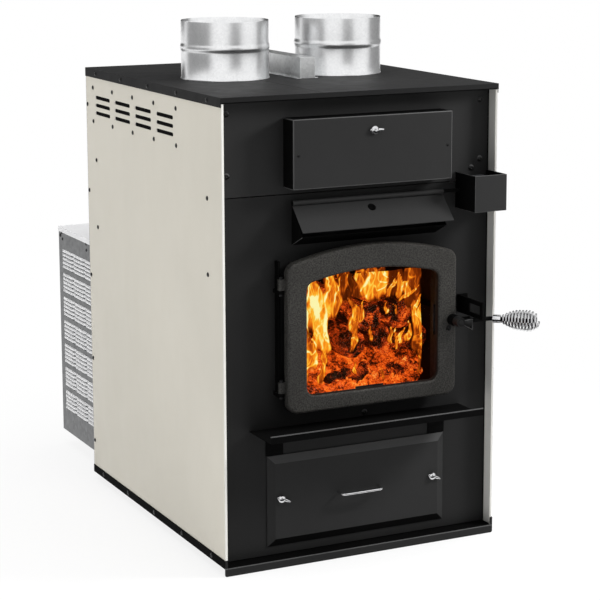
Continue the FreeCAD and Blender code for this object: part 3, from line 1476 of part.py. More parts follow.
def blower():
    """Scroll housing on the rear panel, wheel inside it, and a motor on a bar across one inlet."""
    scroll = join(
        "blower_out",
        rod("blower_drum", "X", "blower_radius", "blower_width", "-blower_half", "blower_y",
            "blower_height"),
        block("blower_duct", ("-blower_half", "blower_half"), ("rear", "blower_y"),
              ("outlet_bottom", "outlet_bottom + outlet_height")),
    )
    room = join(
        "blower_in",
        rod("blower_drum_in", "X", "blower_radius - blower_wall", "blower_width - 2 * blower_wall",
            "-blower_half + blower_wall", "blower_y", "blower_height"),
        block("blower_duct_in", ("-blower_half + blower_wall", "blower_half - blower_wall"),
              ("rear - sheet", "blower_y"),
              ("outlet_bottom + blower_wall", "outlet_bottom + outlet_height - blower_wall")),
        rod("blower_inlets", "X", "inlet_radius", "blower_width + 2 * sheet", "-blower_half - sheet",
            "blower_y",
            "blower_height"),
    )
    piece(cut("blower_housing", scroll, room))
    bar = block("motor_cross_bar", ("-blower_half - motor_bar_thickness", "-blower_half"),
                ("blower_y - motor_bar / 2", "blower_y + motor_bar / 2"),
                ("blower_height - blower_radius + motor_bar", "blower_height + blower_radius - motor_bar"))
    case = rod("motor_case", "X", "motor_radius", "motor_length", "-blower_half", "blower_y",
               "blower_height")
    shaft_length = "blower_half - motor_length + hub_length / 2"
    shaft = rod("motor_shaft_bar", "X", "motor_shaft", shaft_length, "-blower_half + motor_length",
                "blower_y",
                "blower_height")
    piece(join("blower_motor", bar, case, shaft))
    piece(wheel())


def wheel():
    """Squirrel-cage wheel: hub on a centre plate, blades round its rim and a ring at each end."""
    body = doc.addObject("PartDesign::Body", "blower_wheel")
    bore = "motor_shaft + run_gap"
    plate_half = "wheel_plate / 2"
    hub_half = "hub_length / 2"
    disc = outline(body, "XZ_Plane", [
        (bore, f"-{hub_half}"), ("hub_radius", f"-{hub_half}"), ("hub_radius", f"-{plate_half}"),
        ("wheel_radius", f"-{plate_half}"), ("wheel_radius", plate_half), ("hub_radius", plate_half),
        ("hub_radius", hub_half), (bore, hub_half),
    ])
    turn = body.newObject("PartDesign::Revolution", "wheel_disc")
    turn.Profile = disc
    turn.ReferenceAxis = (disc, ["V_Axis"])
    turn.Angle = 360
    inner = "wheel_radius - blade_depth"
    blade_sketch = outline(body, "XY_Plane", [
        (inner, "-blade_thickness / 2"), ("wheel_radius", "-blade_thickness / 2"),
        ("wheel_radius", "blade_thickness / 2"), (inner, "blade_thickness / 2"),
    ])
    blade = body.newObject("PartDesign::Pad", "wheel_blade")
    blade.Profile = blade_sketch
    blade.SideType = "Symmetric"
    blade.setExpression("Length", resolve("wheel_width"))
    doc.recompute()
    spread = body.newObject("PartDesign::PolarPattern", "wheel_blades")
    spread.Originals = [blade]
    spread.Axis = (blade_sketch, ["N_Axis"])
    spread.Angle = 360
    spread.Occurrences = WHEEL_BLADES
    body.Tip = spread
    doc.recompute()
    end = "wheel_width / 2"
    ring_sketch = outline(body, "XZ_Plane", [
        (inner, f"{end} - wheel_ring"), ("wheel_radius", f"{end} - wheel_ring"), ("wheel_radius",
                                                                                  end), (inner, end)])
    polygon(ring_sketch, [
        (inner, f"-{end}"), ("wheel_radius", f"-{end}"), ("wheel_radius", f"wheel_ring - {end}"),
        (inner, f"wheel_ring - {end}")])
    rings = body.newObject("PartDesign::Revolution", "wheel_rings")
    rings.Profile = ring_sketch
    rings.ReferenceAxis = (ring_sketch, ["V_Axis"])
    rings.Angle = 360
    return place(body, "X", "0", "blower_y", "blower_height")


# Screws

def screws():
    """Black pan heads on the side panels, flanges, front panels and blower cabinet."""
    heads = []
    for side, aim, sign in (("left", "-X", "-"), ("right", "X", "")):
        for index in range(FLANGE_SCREWS):
            step = f"(casing_depth - 2 * flange_screw_margin) / {FLANGE_SCREWS - 1}"
            y = f"front + flange_screw_margin + {index} * {step}"
            for level, z in (("top", "casing_height - lid_side_flange / 2"),
                             ("low", "floor + base_flange / 2")):
                heads.append(screw_head(f"flange_{side}_{level}_{index}", aim, f"{sign}half_width", y, z))
        for index in range(EDGE_SCREWS):
            z = f"edge_screw_low + {index} * edge_screw_pitch"
            heads.append(screw_head(f"edge_{side}_{index}", aim, f"{sign}panel_out",
                                    "rear - 2 * screw_radius", z))
        for level, z in (("a", "side_screw_low"), ("b", "side_screw_high")):
            for end, y in (("f", "front + side_screw_margin"), ("r", "rear - side_screw_rear")):
                heads.append(screw_head(f"side_{side}_{level}{end}", aim, f"{sign}panel_out", y, z))
        for level, z in (("a", "front_screw_low"), ("b", "front_screw_high")):
            heads.append(screw_head(f"front_{side}_{level}", "-Y",
                                    f"{sign}(front_edge - front_screw_inset)",
                                    "face", z))
        for end, y in (("f", "rear + cabinet_screw_margin"), ("r", "cabinet_rear - cabinet_screw_margin")):
            heads.append(screw_head(f"cabinet_{side}_{end}", aim, f"{sign}cabinet_half", y,
                                    "cabinet_top - cabinet_screw_drop"))
    heads.append(screw_head("front_actuator", "-Y", "actuator_x", "face",
                            "actuator_bottom + actuator_size + screw_radius + seam_gap"))
    heads.append(screw_head("front_shelf", "-Y", "door_offset", "face", "shelf_height + 2 * screw_radius"))
    for column in range(VENT_BAYS + 1):
        y = f"front + vent_setback + {column} * vent_pitch"
        for level, z in (("low", "vent_height"), ("high", "vent_height + vent_rise")):
            heads.append(screw_head(f"vent_{level}_{column}", "-X", "-panel_out", y, z))
    piece(group("panel_screws", heads))


def build():
    """Make every sub-part of the furnace."""
    base()
    side_panels()
    rear_panel()
    top_panel()
    hot_air_collars()
    wire_channel()
    front_panels()
    firebox()
    heat_exchanger()
    fire()
    door()
    door_hinge()
    latch()
    hearth_shelf()
    ash_drawer()
    cleanout()
    air_intake()
    blower_cabinet()
    blower()
    screws()
    doc.recompute()


def write():
    """Check every object and write each sub-part to its own file."""
    for item in doc.Objects:
        faults = {"Invalid", "Error"} & set(item.State)
        if faults:
            raise RuntimeError(f"{item.Label} is {', '.join(sorted(faults))}")
    for item in pieces:
        if item.Shape.isNull() or not item.Shape.isValid() or not item.Shape.Solids:
            raise RuntimeError(f"{item.Label} has no valid solid")
    os.makedirs("parts", exist_ok=True)
    for item in pieces:
        item.Shape.exportStep(os.path.join("parts", item.Label + ".step"))
        print(f"{item.Label}: {len(item.Shape.Solids)} solids, {item.Shape.Volume / 1000:.1f} cm3")


build()
write()
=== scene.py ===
"""Looks of a forced-air wood furnace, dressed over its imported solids.

Every finish is a node material on Object coordinates in metres. What the solids leave plain, such as screw heads,
louvre hoods, duct collars, wing latches, embers and flames, is built here and rides on the body that carries it.
"""
import json
import logging
import math
import random
from dataclasses import dataclass
from enum import Enum
from typing import Callable, Iterable, Sequence

import bmesh
import bpy
from mathutils import Matrix, Vector, noise

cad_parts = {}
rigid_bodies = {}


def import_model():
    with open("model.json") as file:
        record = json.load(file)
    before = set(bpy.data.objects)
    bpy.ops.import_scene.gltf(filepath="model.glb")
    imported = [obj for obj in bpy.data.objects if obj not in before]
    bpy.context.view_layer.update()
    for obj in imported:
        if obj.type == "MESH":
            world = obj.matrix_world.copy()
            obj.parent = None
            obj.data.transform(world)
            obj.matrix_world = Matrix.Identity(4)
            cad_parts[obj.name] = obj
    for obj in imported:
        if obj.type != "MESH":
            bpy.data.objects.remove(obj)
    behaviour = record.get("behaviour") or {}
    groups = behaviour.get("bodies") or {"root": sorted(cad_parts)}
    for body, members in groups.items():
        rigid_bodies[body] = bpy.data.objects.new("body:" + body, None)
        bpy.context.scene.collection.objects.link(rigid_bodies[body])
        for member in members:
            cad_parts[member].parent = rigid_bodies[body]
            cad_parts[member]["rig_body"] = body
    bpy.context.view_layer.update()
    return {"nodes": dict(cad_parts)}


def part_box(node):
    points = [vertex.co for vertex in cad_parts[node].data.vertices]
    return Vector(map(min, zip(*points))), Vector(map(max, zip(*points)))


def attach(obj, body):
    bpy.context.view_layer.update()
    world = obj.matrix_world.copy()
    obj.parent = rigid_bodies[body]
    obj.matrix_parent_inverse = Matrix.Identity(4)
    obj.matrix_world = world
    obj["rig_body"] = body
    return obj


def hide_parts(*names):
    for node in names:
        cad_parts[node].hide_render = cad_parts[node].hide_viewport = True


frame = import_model()

LOG = logging.getLogger("furnace")
MM = 0.001
MERGE = 1e-5
FLAT_AREA = 20e-6
FLAT_ANGLE = 0.4
SHARP = 35.0
FRONTWARD = -0.3
FACING = 0.5
Colour = tuple[float, float, float]
Point = tuple[float, float, float]


class Body(Enum):
    """Moving bodies of the furnace."""

    CASING = "casing"
    DOOR = "door"
    HANDLE = "handle"
    COVER = "cover"
    COVER_LATCH = "cover_latch"
    FLAP = "flap"
    DRAWER = "drawer"
    DRAWER_LATCH_LEFT = "drawer_latch_left"
    DRAWER_LATCH_RIGHT = "drawer_latch_right"
    WHEEL = "wheel"


class Slot(Enum):
    """Material slots of the record."""

    CREAM = "cream_paint"
    BLACK = "black_paint"
    GALVANISED = "galvanised"
    CAST = "cast_iron"
    PLATE = "steel_plate"
    CHROME = "chrome"
    BLACK_STEEL = "black_steel"
    GLASS = "ceramic_glass"
    BRICK = "firebrick"
    ROPE = "rope"
    BAFFLE = "baffle"
    BARK = "log_bark"
    EMBER = "ember"
    FILTER = "filter_fibre"
    MOTOR = "motor_case"


# Node graphs

class Nodes:
    """Node tree under construction."""

    def __init__(self, tree: bpy.types.NodeTree) -> None:
        """Work on a tree."""
        self.tree = tree

    def add(self, kind: str, inputs: dict | None = None, **settings) -> bpy.types.Node:
        """Add a node.

        Args:
            kind: Node type.
            inputs: Values or sockets by input name or number.
            **settings: Node properties.

        Returns:
            The new node.
        """
        node = self.tree.nodes.new(kind)
        for key, value in settings.items():
            setattr(node, key, value)
        for key, value in (inputs or {}).items():
            self.feed(node.inputs[key], value)
        return node

    def feed(self, socket: bpy.types.NodeSocket, value: object) -> None:
        """Link a socket to another one, or set its value.

        Args:
            socket: Input socket.
            value: Output socket that feeds it, or its plain value.
        """
        if isinstance(value, bpy.types.NodeSocket):
            self.tree.links.new(value, socket)
        elif socket.type == "RGBA":
            socket.default_value = (*value, 1.0)
        else:
            socket.default_value = value


class Graph(Nodes):
    """Node tree of one material, built up step by step."""

    def __init__(self, name: str) -> None:
        """Start an empty material with an output node.

        Args:
            name: Name of the material.
        """
        self.material = bpy.data.materials.new(name)
        self.material.use_nodes = True
        super().__init__(self.material.node_tree)
        self.tree.nodes.clear()
        self.output = self.add("ShaderNodeOutputMaterial")
        self.place = self.add("ShaderNodeTexCoord").outputs["Object"]

    def mapped(self, scale: Point, turn: Point = (0, 0, 0), shift: Point = (0, 0, 0)) -> bpy.types.NodeSocket:
        """Object coordinates scaled, turned and shifted."""
        node = self.add("ShaderNodeMapping", {"Vector": self.place, "Scale": scale, "Rotation": turn,
                                              "Location": shift})
        return node.outputs["Vector"]

    def noise(self, scale: float, detail: float = 3.0, rough: float = 0.5, warp: float = 0.0,
              place: bpy.types.NodeSocket | None = None) -> bpy.types.NodeSocket:
        """Noise value at a scale in features per metre."""
        node = self.add("ShaderNodeTexNoise", {
            "Vector": place or self.place, "Scale": scale, "Detail": detail, "Roughness": rough, "Distortion": warp})
        return node.outputs[0]

    def cells(self, scale: float, feature: str = "F1", output: str = "Distance",
              place: bpy.types.NodeSocket | None = None) -> bpy.types.NodeSocket:
        """Voronoi cells: distance, edge distance or a colour for each cell."""
        node = self.add("ShaderNodeTexVoronoi", {"Vector": place or self.place, "Scale": scale}, feature=feature)
        return node.outputs[output]

    def span(self, value: bpy.types.NodeSocket, low: float, high: float, start: float = 0.0,
             end: float = 1.0) -> bpy.types.NodeSocket:
        """Value carried from one range to another, held at its ends."""
        node = self.add("ShaderNodeMapRange", {"Value": value, "From Min": low, "From Max": high, "To Min": start,
                                               "To Max": end})
        return node.outputs["Result"]

    def math(self, operation: str, first: object, second: object = 0.0) -> bpy.types.NodeSocket:
        """Arithmetic on two values."""
        return self.add("ShaderNodeMath", {0: first, 1: second}, operation=operation).outputs[0]

    def ramp(self, value: bpy.types.NodeSocket, stops: Sequence[tuple[float, Colour]]) -> bpy.types.NodeSocket:
        """Colour from a ramp of stops.

        Args:
            value: Value that picks the colour.
            stops: Places on the ramp and their colours.

        Returns:
            The colour's socket.
        """
        node = self.add("ShaderNodeValToRGB", {"Fac": value})
        elements = node.color_ramp.elements
        while len(elements) < len(stops):
            elements.new(1.0)
        for element, (spot, colour) in zip(elements, stops):
            element.position = spot
            element.color = (*colour, 1.0)
        return node.outputs["Color"]

    def mix(self, share: object, first: object, second: object, blend: str = "MIX") -> bpy.types.NodeSocket:
        """Mix of two colours."""
        node = self.add("ShaderNodeMix", {0: share, 6: first, 7: second}, data_type="RGBA", blend_type=blend)
        return node.outputs[2]

    def bump(self, height: bpy.types.NodeSocket, strength: float, depth: float,
             normal: bpy.types.NodeSocket | None = None) -> bpy.types.NodeSocket:
        """Normal disturbed by a height.

        Args:
            height: Height of the relief.
            strength: Share of the relief that shows.
            depth: Its depth in metres.
            normal: Normal that it is laid over, if any.

        Returns:
            The normal's socket.
        """
        inputs = {"Height": height, "Strength": strength, "Distance": depth}
        if normal is not None:
            inputs["Normal"] = normal
        return self.add("ShaderNodeBump", inputs).outputs["Normal"]

    def surface(self, **inputs) -> bpy.types.Material:
        """Finish the material with a principled shader.

        Args:
            **inputs: Values or sockets by input name, with underscores for blanks.

        Returns:
            The finished material.
        """
        named = {key.replace("_", " "): value for key, value in inputs.items()}
        shader = self.add("ShaderNodeBsdfPrincipled", named)
        self.tree.links.new(shader.outputs[0], self.output.inputs["Surface"])
        return self.material


# Finishes

@dataclass(frozen=True)
class Finish:
    """A named surface finish."""

    name: str

    def material(self) -> bpy.types.Material:
        """The finish's material, made once."""
        return bpy.data.materials.get(self.name) or self.make(Graph(self.name))

    def make(self, graph: Graph) -> bpy.types.Material:
        """Fill the graph and return its material."""
        raise NotImplementedError


@dataclass(frozen=True)
class PaintedSheet(Finish):
    """Sprayed sheet metal with orange peel, faint mottling and handling marks."""

    colour: Colour
    shade: Colour
    roughness: float = 0.42
    gloss: float = 0.4
    peel: float = 0.06

    def make(self, graph: Graph) -> bpy.types.Material:
        """Mottled colour, uneven gloss and a fine peel.

        Args:
            graph: Empty graph to fill.

        Returns:
            The finished material.
        """
        broad = graph.span(graph.noise(2.6, 4.0, 0.55), 0.36, 0.66)
        colour = graph.mix(broad, self.shade, self.colour)
        smear = graph.noise(18.0, 5.0, 0.6, 0.8, graph.mapped((1.0, 1.0, 0.35)))
        rough = graph.span(smear, 0.3, 0.72, self.roughness - 0.05, self.roughness + 0.07)
        waves = graph.bump(graph.noise(5.0, 1.0), 0.06, 0.002)
        normal = graph.bump(graph.noise(620.0, 2.0), self.peel, 0.0004, waves)
        return graph.surface(Base_Color=colour, Roughness=rough, Normal=normal, Specular_IOR_Level=self.gloss)


@dataclass(frozen=True)
class GalvanisedSheet(Finish):
    """Zinc-coated sheet with a spangle of crystals and drawn streaks."""

    bright: Colour = (0.62, 0.63, 0.64)
    dull: Colour = (0.40, 0.41, 0.42)
    roughness: float = 0.30
    spangle: float = 95.0
    patchy: float = 0.75

    def make(self, graph: Graph) -> bpy.types.Material:
        """Crystal-by-crystal tone and gloss, with soft streaks.

        Args:
            graph: Empty graph to fill.

        Returns:
            The finished material.
        """
        cell = graph.add("ShaderNodeSeparateColor", {"Color": graph.cells(self.spangle, "F1", "Color")})
        tone = graph.span(cell.outputs[0], 0.0, 1.0, 1.0 - self.patchy, 1.0)
        streak = graph.noise(30.0, 4.0, 0.6, 0.4, graph.mapped((1.0, 1.0, 0.15)))
        share = graph.math("MULTIPLY", tone, graph.span(streak, 0.25, 0.75, 0.75, 1.0))
        colour = graph.mix(share, self.dull, self.bright)
        rough = graph.span(cell.outputs[1], 0.0, 1.0, self.roughness - 0.06 * self.patchy,
                           self.roughness + 0.1 * self.patchy)
        normal = graph.bump(graph.noise(220.0, 3.0), 0.05, 0.0005)
        return graph.surface(Base_Color=colour, Metallic=1.0, Roughness=rough, Normal=normal)


@dataclass(frozen=True)
class CastMetal(Finish):
    """Sand-cast iron under thin heat paint: grain, pits and worn high spots."""

    colour: Colour = (0.062, 0.059, 0.053)
    hollow: Colour = (0.014, 0.0135, 0.0125)
    roughness: float = 0.58

    def make(self, graph: Graph) -> bpy.types.Material:
        """Grainy colour and relief at two scales, with scattered pits.

        Args:
            graph: Empty graph to fill.

        Returns:
            The finished material.
        """
        grain = graph.noise(300.0, 4.0, 0.62)
        sand = graph.noise(1100.0, 2.0, 0.5)
        cloud = graph.span(graph.noise(9.0, 4.0, 0.6), 0.3, 0.7, 0.55, 1.0)
        share = graph.math("MULTIPLY", graph.span(grain, 0.36, 0.62), cloud)
        colour = graph.mix(share, self.hollow, self.colour)
        pits = graph.span(graph.cells(260.0), 0.0, 0.22)
        normal = graph.bump(sand, 0.30, 0.0006)
        normal = graph.bump(grain, 0.55, 0.0012, normal)
        normal = graph.bump(pits, 0.25, 0.0008, normal)
        rough = graph.span(grain, 0.3, 0.7, self.roughness + 0.12, self.roughness - 0.08)
        return graph.surface(Base_Color=colour, Metallic=0.15, Roughness=rough, Normal=normal,
                             Specular_IOR_Level=0.45)


@dataclass(frozen=True)
class Polished(Finish):
    """Bright plated metal with faint smudges and hairlines."""

    colour: Colour = (0.78, 0.78, 0.79)
    roughness: float = 0.12

    def make(self, graph: Graph) -> bpy.types.Material:
        """Smudged gloss over a bright metal.

        Args:
            graph: Empty graph to fill.

        Returns:
            The finished material.
        """
        smudge = graph.noise(60.0, 4.0, 0.6, 0.6)
        rough = graph.span(smudge, 0.35, 0.75, self.roughness, self.roughness + 0.14)
        colour = graph.mix(graph.span(smudge, 0.4, 0.8), self.colour, tuple(0.8 * part for part in self.colour))
        hair = graph.noise(900.0, 2.0, 0.5, 0.0, graph.mapped((1.0, 1.0, 0.05)))
        return graph.surface(Base_Color=colour, Metallic=1.0, Roughness=rough, Normal=graph.bump(hair, 0.03, 0.0003))


@dataclass(frozen=True)
class DarkSteel(Finish):
    """Blackened or rolled steel with scale and rubbed patches."""

    colour: Colour = (0.020, 0.020, 0.021)
    rubbed: Colour = (0.055, 0.054, 0.053)
    roughness: float = 0.40
    metal: float = 0.4
    relief: float = 0.15

    def make(self, graph: Graph) -> bpy.types.Material:
        """Patches of scale over dark metal.

        Args:
            graph: Empty graph to fill.

        Returns:
            The finished material.
        """
        patch = graph.span(graph.noise(26.0, 5.0, 0.65, 0.4), 0.5, 0.78)
        colour = graph.mix(patch, self.colour, self.rubbed)
        rough = graph.span(graph.noise(80.0, 3.0), 0.3, 0.7, self.roughness - 0.06, self.roughness + 0.12)
        normal = graph.bump(graph.noise(520.0, 3.0, 0.6), self.relief, 0.0005)
        return graph.surface(Base_Color=colour, Metallic=self.metal, Roughness=rough, Normal=normal,
                             Specular_IOR_Level=0.4)


@dataclass(frozen=True)
class CeramicGlass(Finish):
    """Clear heat-proof pane with a film of soot in its corners."""

    tint: Colour = (0.012, 0.008, 0.006)

    def make(self, graph: Graph) -> bpy.types.Material:
        """See-through pane whose soot thickens in patches.

        Args:
            graph: Empty graph to fill.

        Returns:
            The finished material.
        """
        film = graph.span(graph.noise(14.0, 5.0, 0.6, 0.5), 0.45, 0.85, 0.01, 0.05)
        rough = graph.span(graph.noise(40.0, 3.0), 0.3, 0.7, 0.04, 0.12)
        return graph.surface(Base_Color=self.tint, Roughness=rough, Alpha=film, Specular_IOR_Level=0.1)


@dataclass(frozen=True)
class FireBrick(Finish):
    """Refractory brick with grit, blackened by soot towards the door."""

    colour: Colour = (0.16, 0.11, 0.075)
    soot: Colour = (0.003, 0.0025, 0.002)

    def make(self, graph: Graph) -> bpy.types.Material:
        """Gritty brick under a ragged coat of soot.

        Args:
            graph: Empty graph to fill.

        Returns:
            The finished material.
        """
        grit = graph.noise(240.0, 4.0, 0.65)
        body = graph.mix(graph.span(grit, 0.35, 0.65), tuple(0.7 * part for part in self.colour), self.colour)
        depth = graph.add("ShaderNodeSeparateXYZ", {0: graph.place}).outputs["Y"]
        ragged = graph.math("ADD", depth, graph.span(graph.noise(11.0, 5.0, 0.6), 0.0, 1.0, -0.12, 0.12))
        colour = graph.mix(graph.span(ragged, -0.05, 0.2, 1.0, 0.85), body, self.soot)
        normal = graph.bump(grit, 0.5, 0.0015)
        return graph.surface(Base_Color=colour, Roughness=0.95, Normal=normal, Specular_IOR_Level=0.15)


@dataclass(frozen=True)
class FibreBoard(Finish):
    """Pale fibre, woven rope or filter felt with a strand pattern."""

    colour: Colour
    shade: Colour
    strands: Point = (90.0, 90.0, 420.0)
    depth: float = 0.0012

    def make(self, graph: Graph) -> bpy.types.Material:
        """Strands crossed by loose fluff.

        Args:
            graph: Empty graph to fill.

        Returns:
            The finished material.
        """
        strand = graph.noise(1.0, 3.0, 0.6, 0.3, graph.mapped(self.strands))
        fluff = graph.noise(260.0, 4.0, 0.7)
        share = graph.math("MULTIPLY", graph.span(strand, 0.3, 0.7), graph.span(fluff, 0.2, 0.8, 0.5, 1.0))
        colour = graph.mix(share, self.shade, self.colour)
        normal = graph.bump(strand, 0.6, self.depth)
        return graph.surface(Base_Color=colour, Roughness=0.9, Normal=normal, Sheen_Weight=0.2)


@dataclass(frozen=True)
class CharredWood(Finish):
    """Burning log: checked char, red hot through its skin, with fire showing in the cracks."""

    glow: float = 1.0
    shift: Point = (0.0, 0.0, 0.0)

    def make(self, graph: Graph) -> bpy.types.Material:
        """Char whose patches, grain and cracks give off their own light.

        Args:
            graph: Empty graph to fill.

        Returns:
            The finished material.
        """
        grain = graph.mapped((1.0, 0.4, 1.0), shift=self.shift)
        wander = graph.add("ShaderNodeTexNoise", {"Vector": grain, "Scale": 60.0, "Detail": 3.0}).outputs["Color"]
        bent = graph.add("ShaderNodeVectorMath", {0: wander, 1: (0.02, 0.02, 0.02)}, operation="MULTIPLY").outputs[0]
        bent = graph.add("ShaderNodeVectorMath", {0: grain, 1: bent}, operation="ADD").outputs[0]
        crack = graph.cells(52.0, "DISTANCE_TO_EDGE", "Distance", bent)
        fine = graph.noise(150.0, 5.0, 0.68, 1.6, grain)
        patch = graph.noise(24.0, 3.0, 0.55, 1.0, grain)
        heat = graph.math("ADD", graph.span(patch, 0.36, 0.66, -0.16, 0.52), graph.span(fine, 0.30, 0.72, -0.24, 0.36))
        heat = graph.math("ADD", heat, graph.span(crack, 0.0, 0.06, 0.36, 0.0))
        heat = graph.math("SUBTRACT", heat, graph.span(crack, 0.04, 0.12, 0.22, 0.0))
        heat = graph.math("MULTIPLY", heat, self.glow)
        light = graph.ramp(heat, [
            (0.0, (0.006, 0.001, 0.0)), (0.16, (0.07, 0.007, 0.001)), (0.34, (0.36, 0.030, 0.003)),
            (0.54, (0.84, 0.095, 0.008)), (0.76, (1.0, 0.26, 0.025)), (1.0, (1.0, 0.74, 0.22))])
        char = graph.mix(graph.span(fine, 0.3, 0.7), (0.006, 0.004, 0.003), (0.05, 0.028, 0.016))
        normal = graph.bump(graph.math("ADD", graph.span(crack, 0.0, 0.2), fine), 0.9, 0.004)
        return graph.surface(Base_Color=char, Roughness=0.9, Normal=normal, Specular_IOR_Level=0.1,
                             Emission_Color=light, Emission_Strength=1.0)


@dataclass(frozen=True)
class GlowingEmbers(Finish):
    """Coals that glow from dull red to orange, dark where they have cooled."""

    warmth: float = 1.0

    def make(self, graph: Graph) -> bpy.types.Material:
        """Coals lit from within, with dark cracks and a few yellow flecks.

        Args:
            graph: Empty graph to fill.

        Returns:
            The finished material.
        """
        broad = graph.noise(15.0, 3.0, 0.55, 0.8)
        coal = graph.noise(75.0, 5.0, 0.68, 1.2)
        fleck = graph.noise(210.0, 3.0, 0.6, 0.8)
        gap = graph.span(graph.cells(62.0, "DISTANCE_TO_EDGE"), 0.0, 0.09, 0.22, 0.0)
        heat = graph.math("ADD", graph.span(broad, 0.36, 0.62, 0.02, 0.56), graph.span(coal, 0.30, 0.70, -0.24, 0.26))
        heat = graph.math("ADD", heat, graph.span(fleck, 0.38, 0.72, -0.07, 0.24))
        heat = graph.math("MULTIPLY", graph.math("SUBTRACT", heat, gap), self.warmth)
        light = graph.ramp(heat, [
            (0.0, (0.012, 0.002, 0.0)), (0.14, (0.12, 0.012, 0.001)), (0.30, (0.52, 0.048, 0.003)),
            (0.50, (0.95, 0.12, 0.008)), (0.74, (1.0, 0.25, 0.022)), (1.0, (1.0, 0.62, 0.14))])
        ash = graph.mix(graph.span(coal, 0.55, 0.8), (0.012, 0.008, 0.006), (0.20, 0.17, 0.15))
        normal = graph.bump(coal, 0.8, 0.004)
        return graph.surface(Base_Color=ash, Roughness=0.95, Normal=normal, Specular_IOR_Level=0.1,
                             Emission_Color=light, Emission_Strength=1.0)


@dataclass(frozen=True)
class Flame(Finish):
    """Curtain of burning gas: drawn into bright threads, torn where it thins."""

    def make(self, graph: Graph) -> bpy.types.Material:
        """Glow and cover from the curtain's own map, cover in U and heat in V, drawn out by threads of noise.

        Args:
            graph: Empty graph to fill.

        Returns:
            The finished material.
        """
        flat = graph.add("ShaderNodeUVMap", uv_map="burn").outputs["UV"]
        parts = graph.add("ShaderNodeSeparateXYZ", {0: flat})
        cover, heat = parts.outputs["X"], parts.outputs["Y"]
        rising = graph.mapped((1.0, 1.0, 0.55))
        swirl = graph.noise(17.0, 2.0, 0.5, 1.8, rising)
        ridge = graph.math("ABSOLUTE", graph.math("SUBTRACT", graph.math("MULTIPLY", swirl, 2.0), 1.0))
        ridge = graph.span(ridge, 0.0, 0.10, 1.0, 0.0)
        thread = graph.noise(44.0, 2.0, 0.5, 2.0, graph.mapped((1.0, 1.0, 0.3)))
        lick = graph.math("ABSOLUTE", graph.math("SUBTRACT", graph.math("MULTIPLY", thread, 2.0), 1.0))
        lick = graph.span(lick, 0.0, 0.14, 1.0, 0.0)
        veil = graph.noise(13.0, 3.0, 0.55, 1.2, rising)
        level = graph.math("MULTIPLY", heat, graph.span(veil, 0.34, 0.66, 0.26, 0.95))
        drawn = graph.math("ADD", graph.math("MULTIPLY", ridge, 1.15), graph.math("MULTIPLY", lick, 0.34))
        level = graph.math("ADD", level, graph.math("MULTIPLY", drawn, heat))
        light = graph.ramp(level, [(0.0, (0.02, 0.003, 0.0)), (0.12, (0.22, 0.030, 0.002)), (0.25, (0.70, 0.13, 0.006)),
                                   (0.42, (1.0, 0.31, 0.012)), (0.66, (1.0, 0.60, 0.05)), (1.0, (1.0, 0.93, 0.42))])
        torn = graph.math("MULTIPLY", cover, graph.span(veil, 0.30, 0.62, 0.5, 1.25))
        return graph.surface(Base_Color=(0.0, 0.0, 0.0), Roughness=1.0, Specular_IOR_Level=0.0,
                             Alpha=graph.span(torn, 0.08, 0.62), Emission_Color=light, Emission_Strength=1.0)


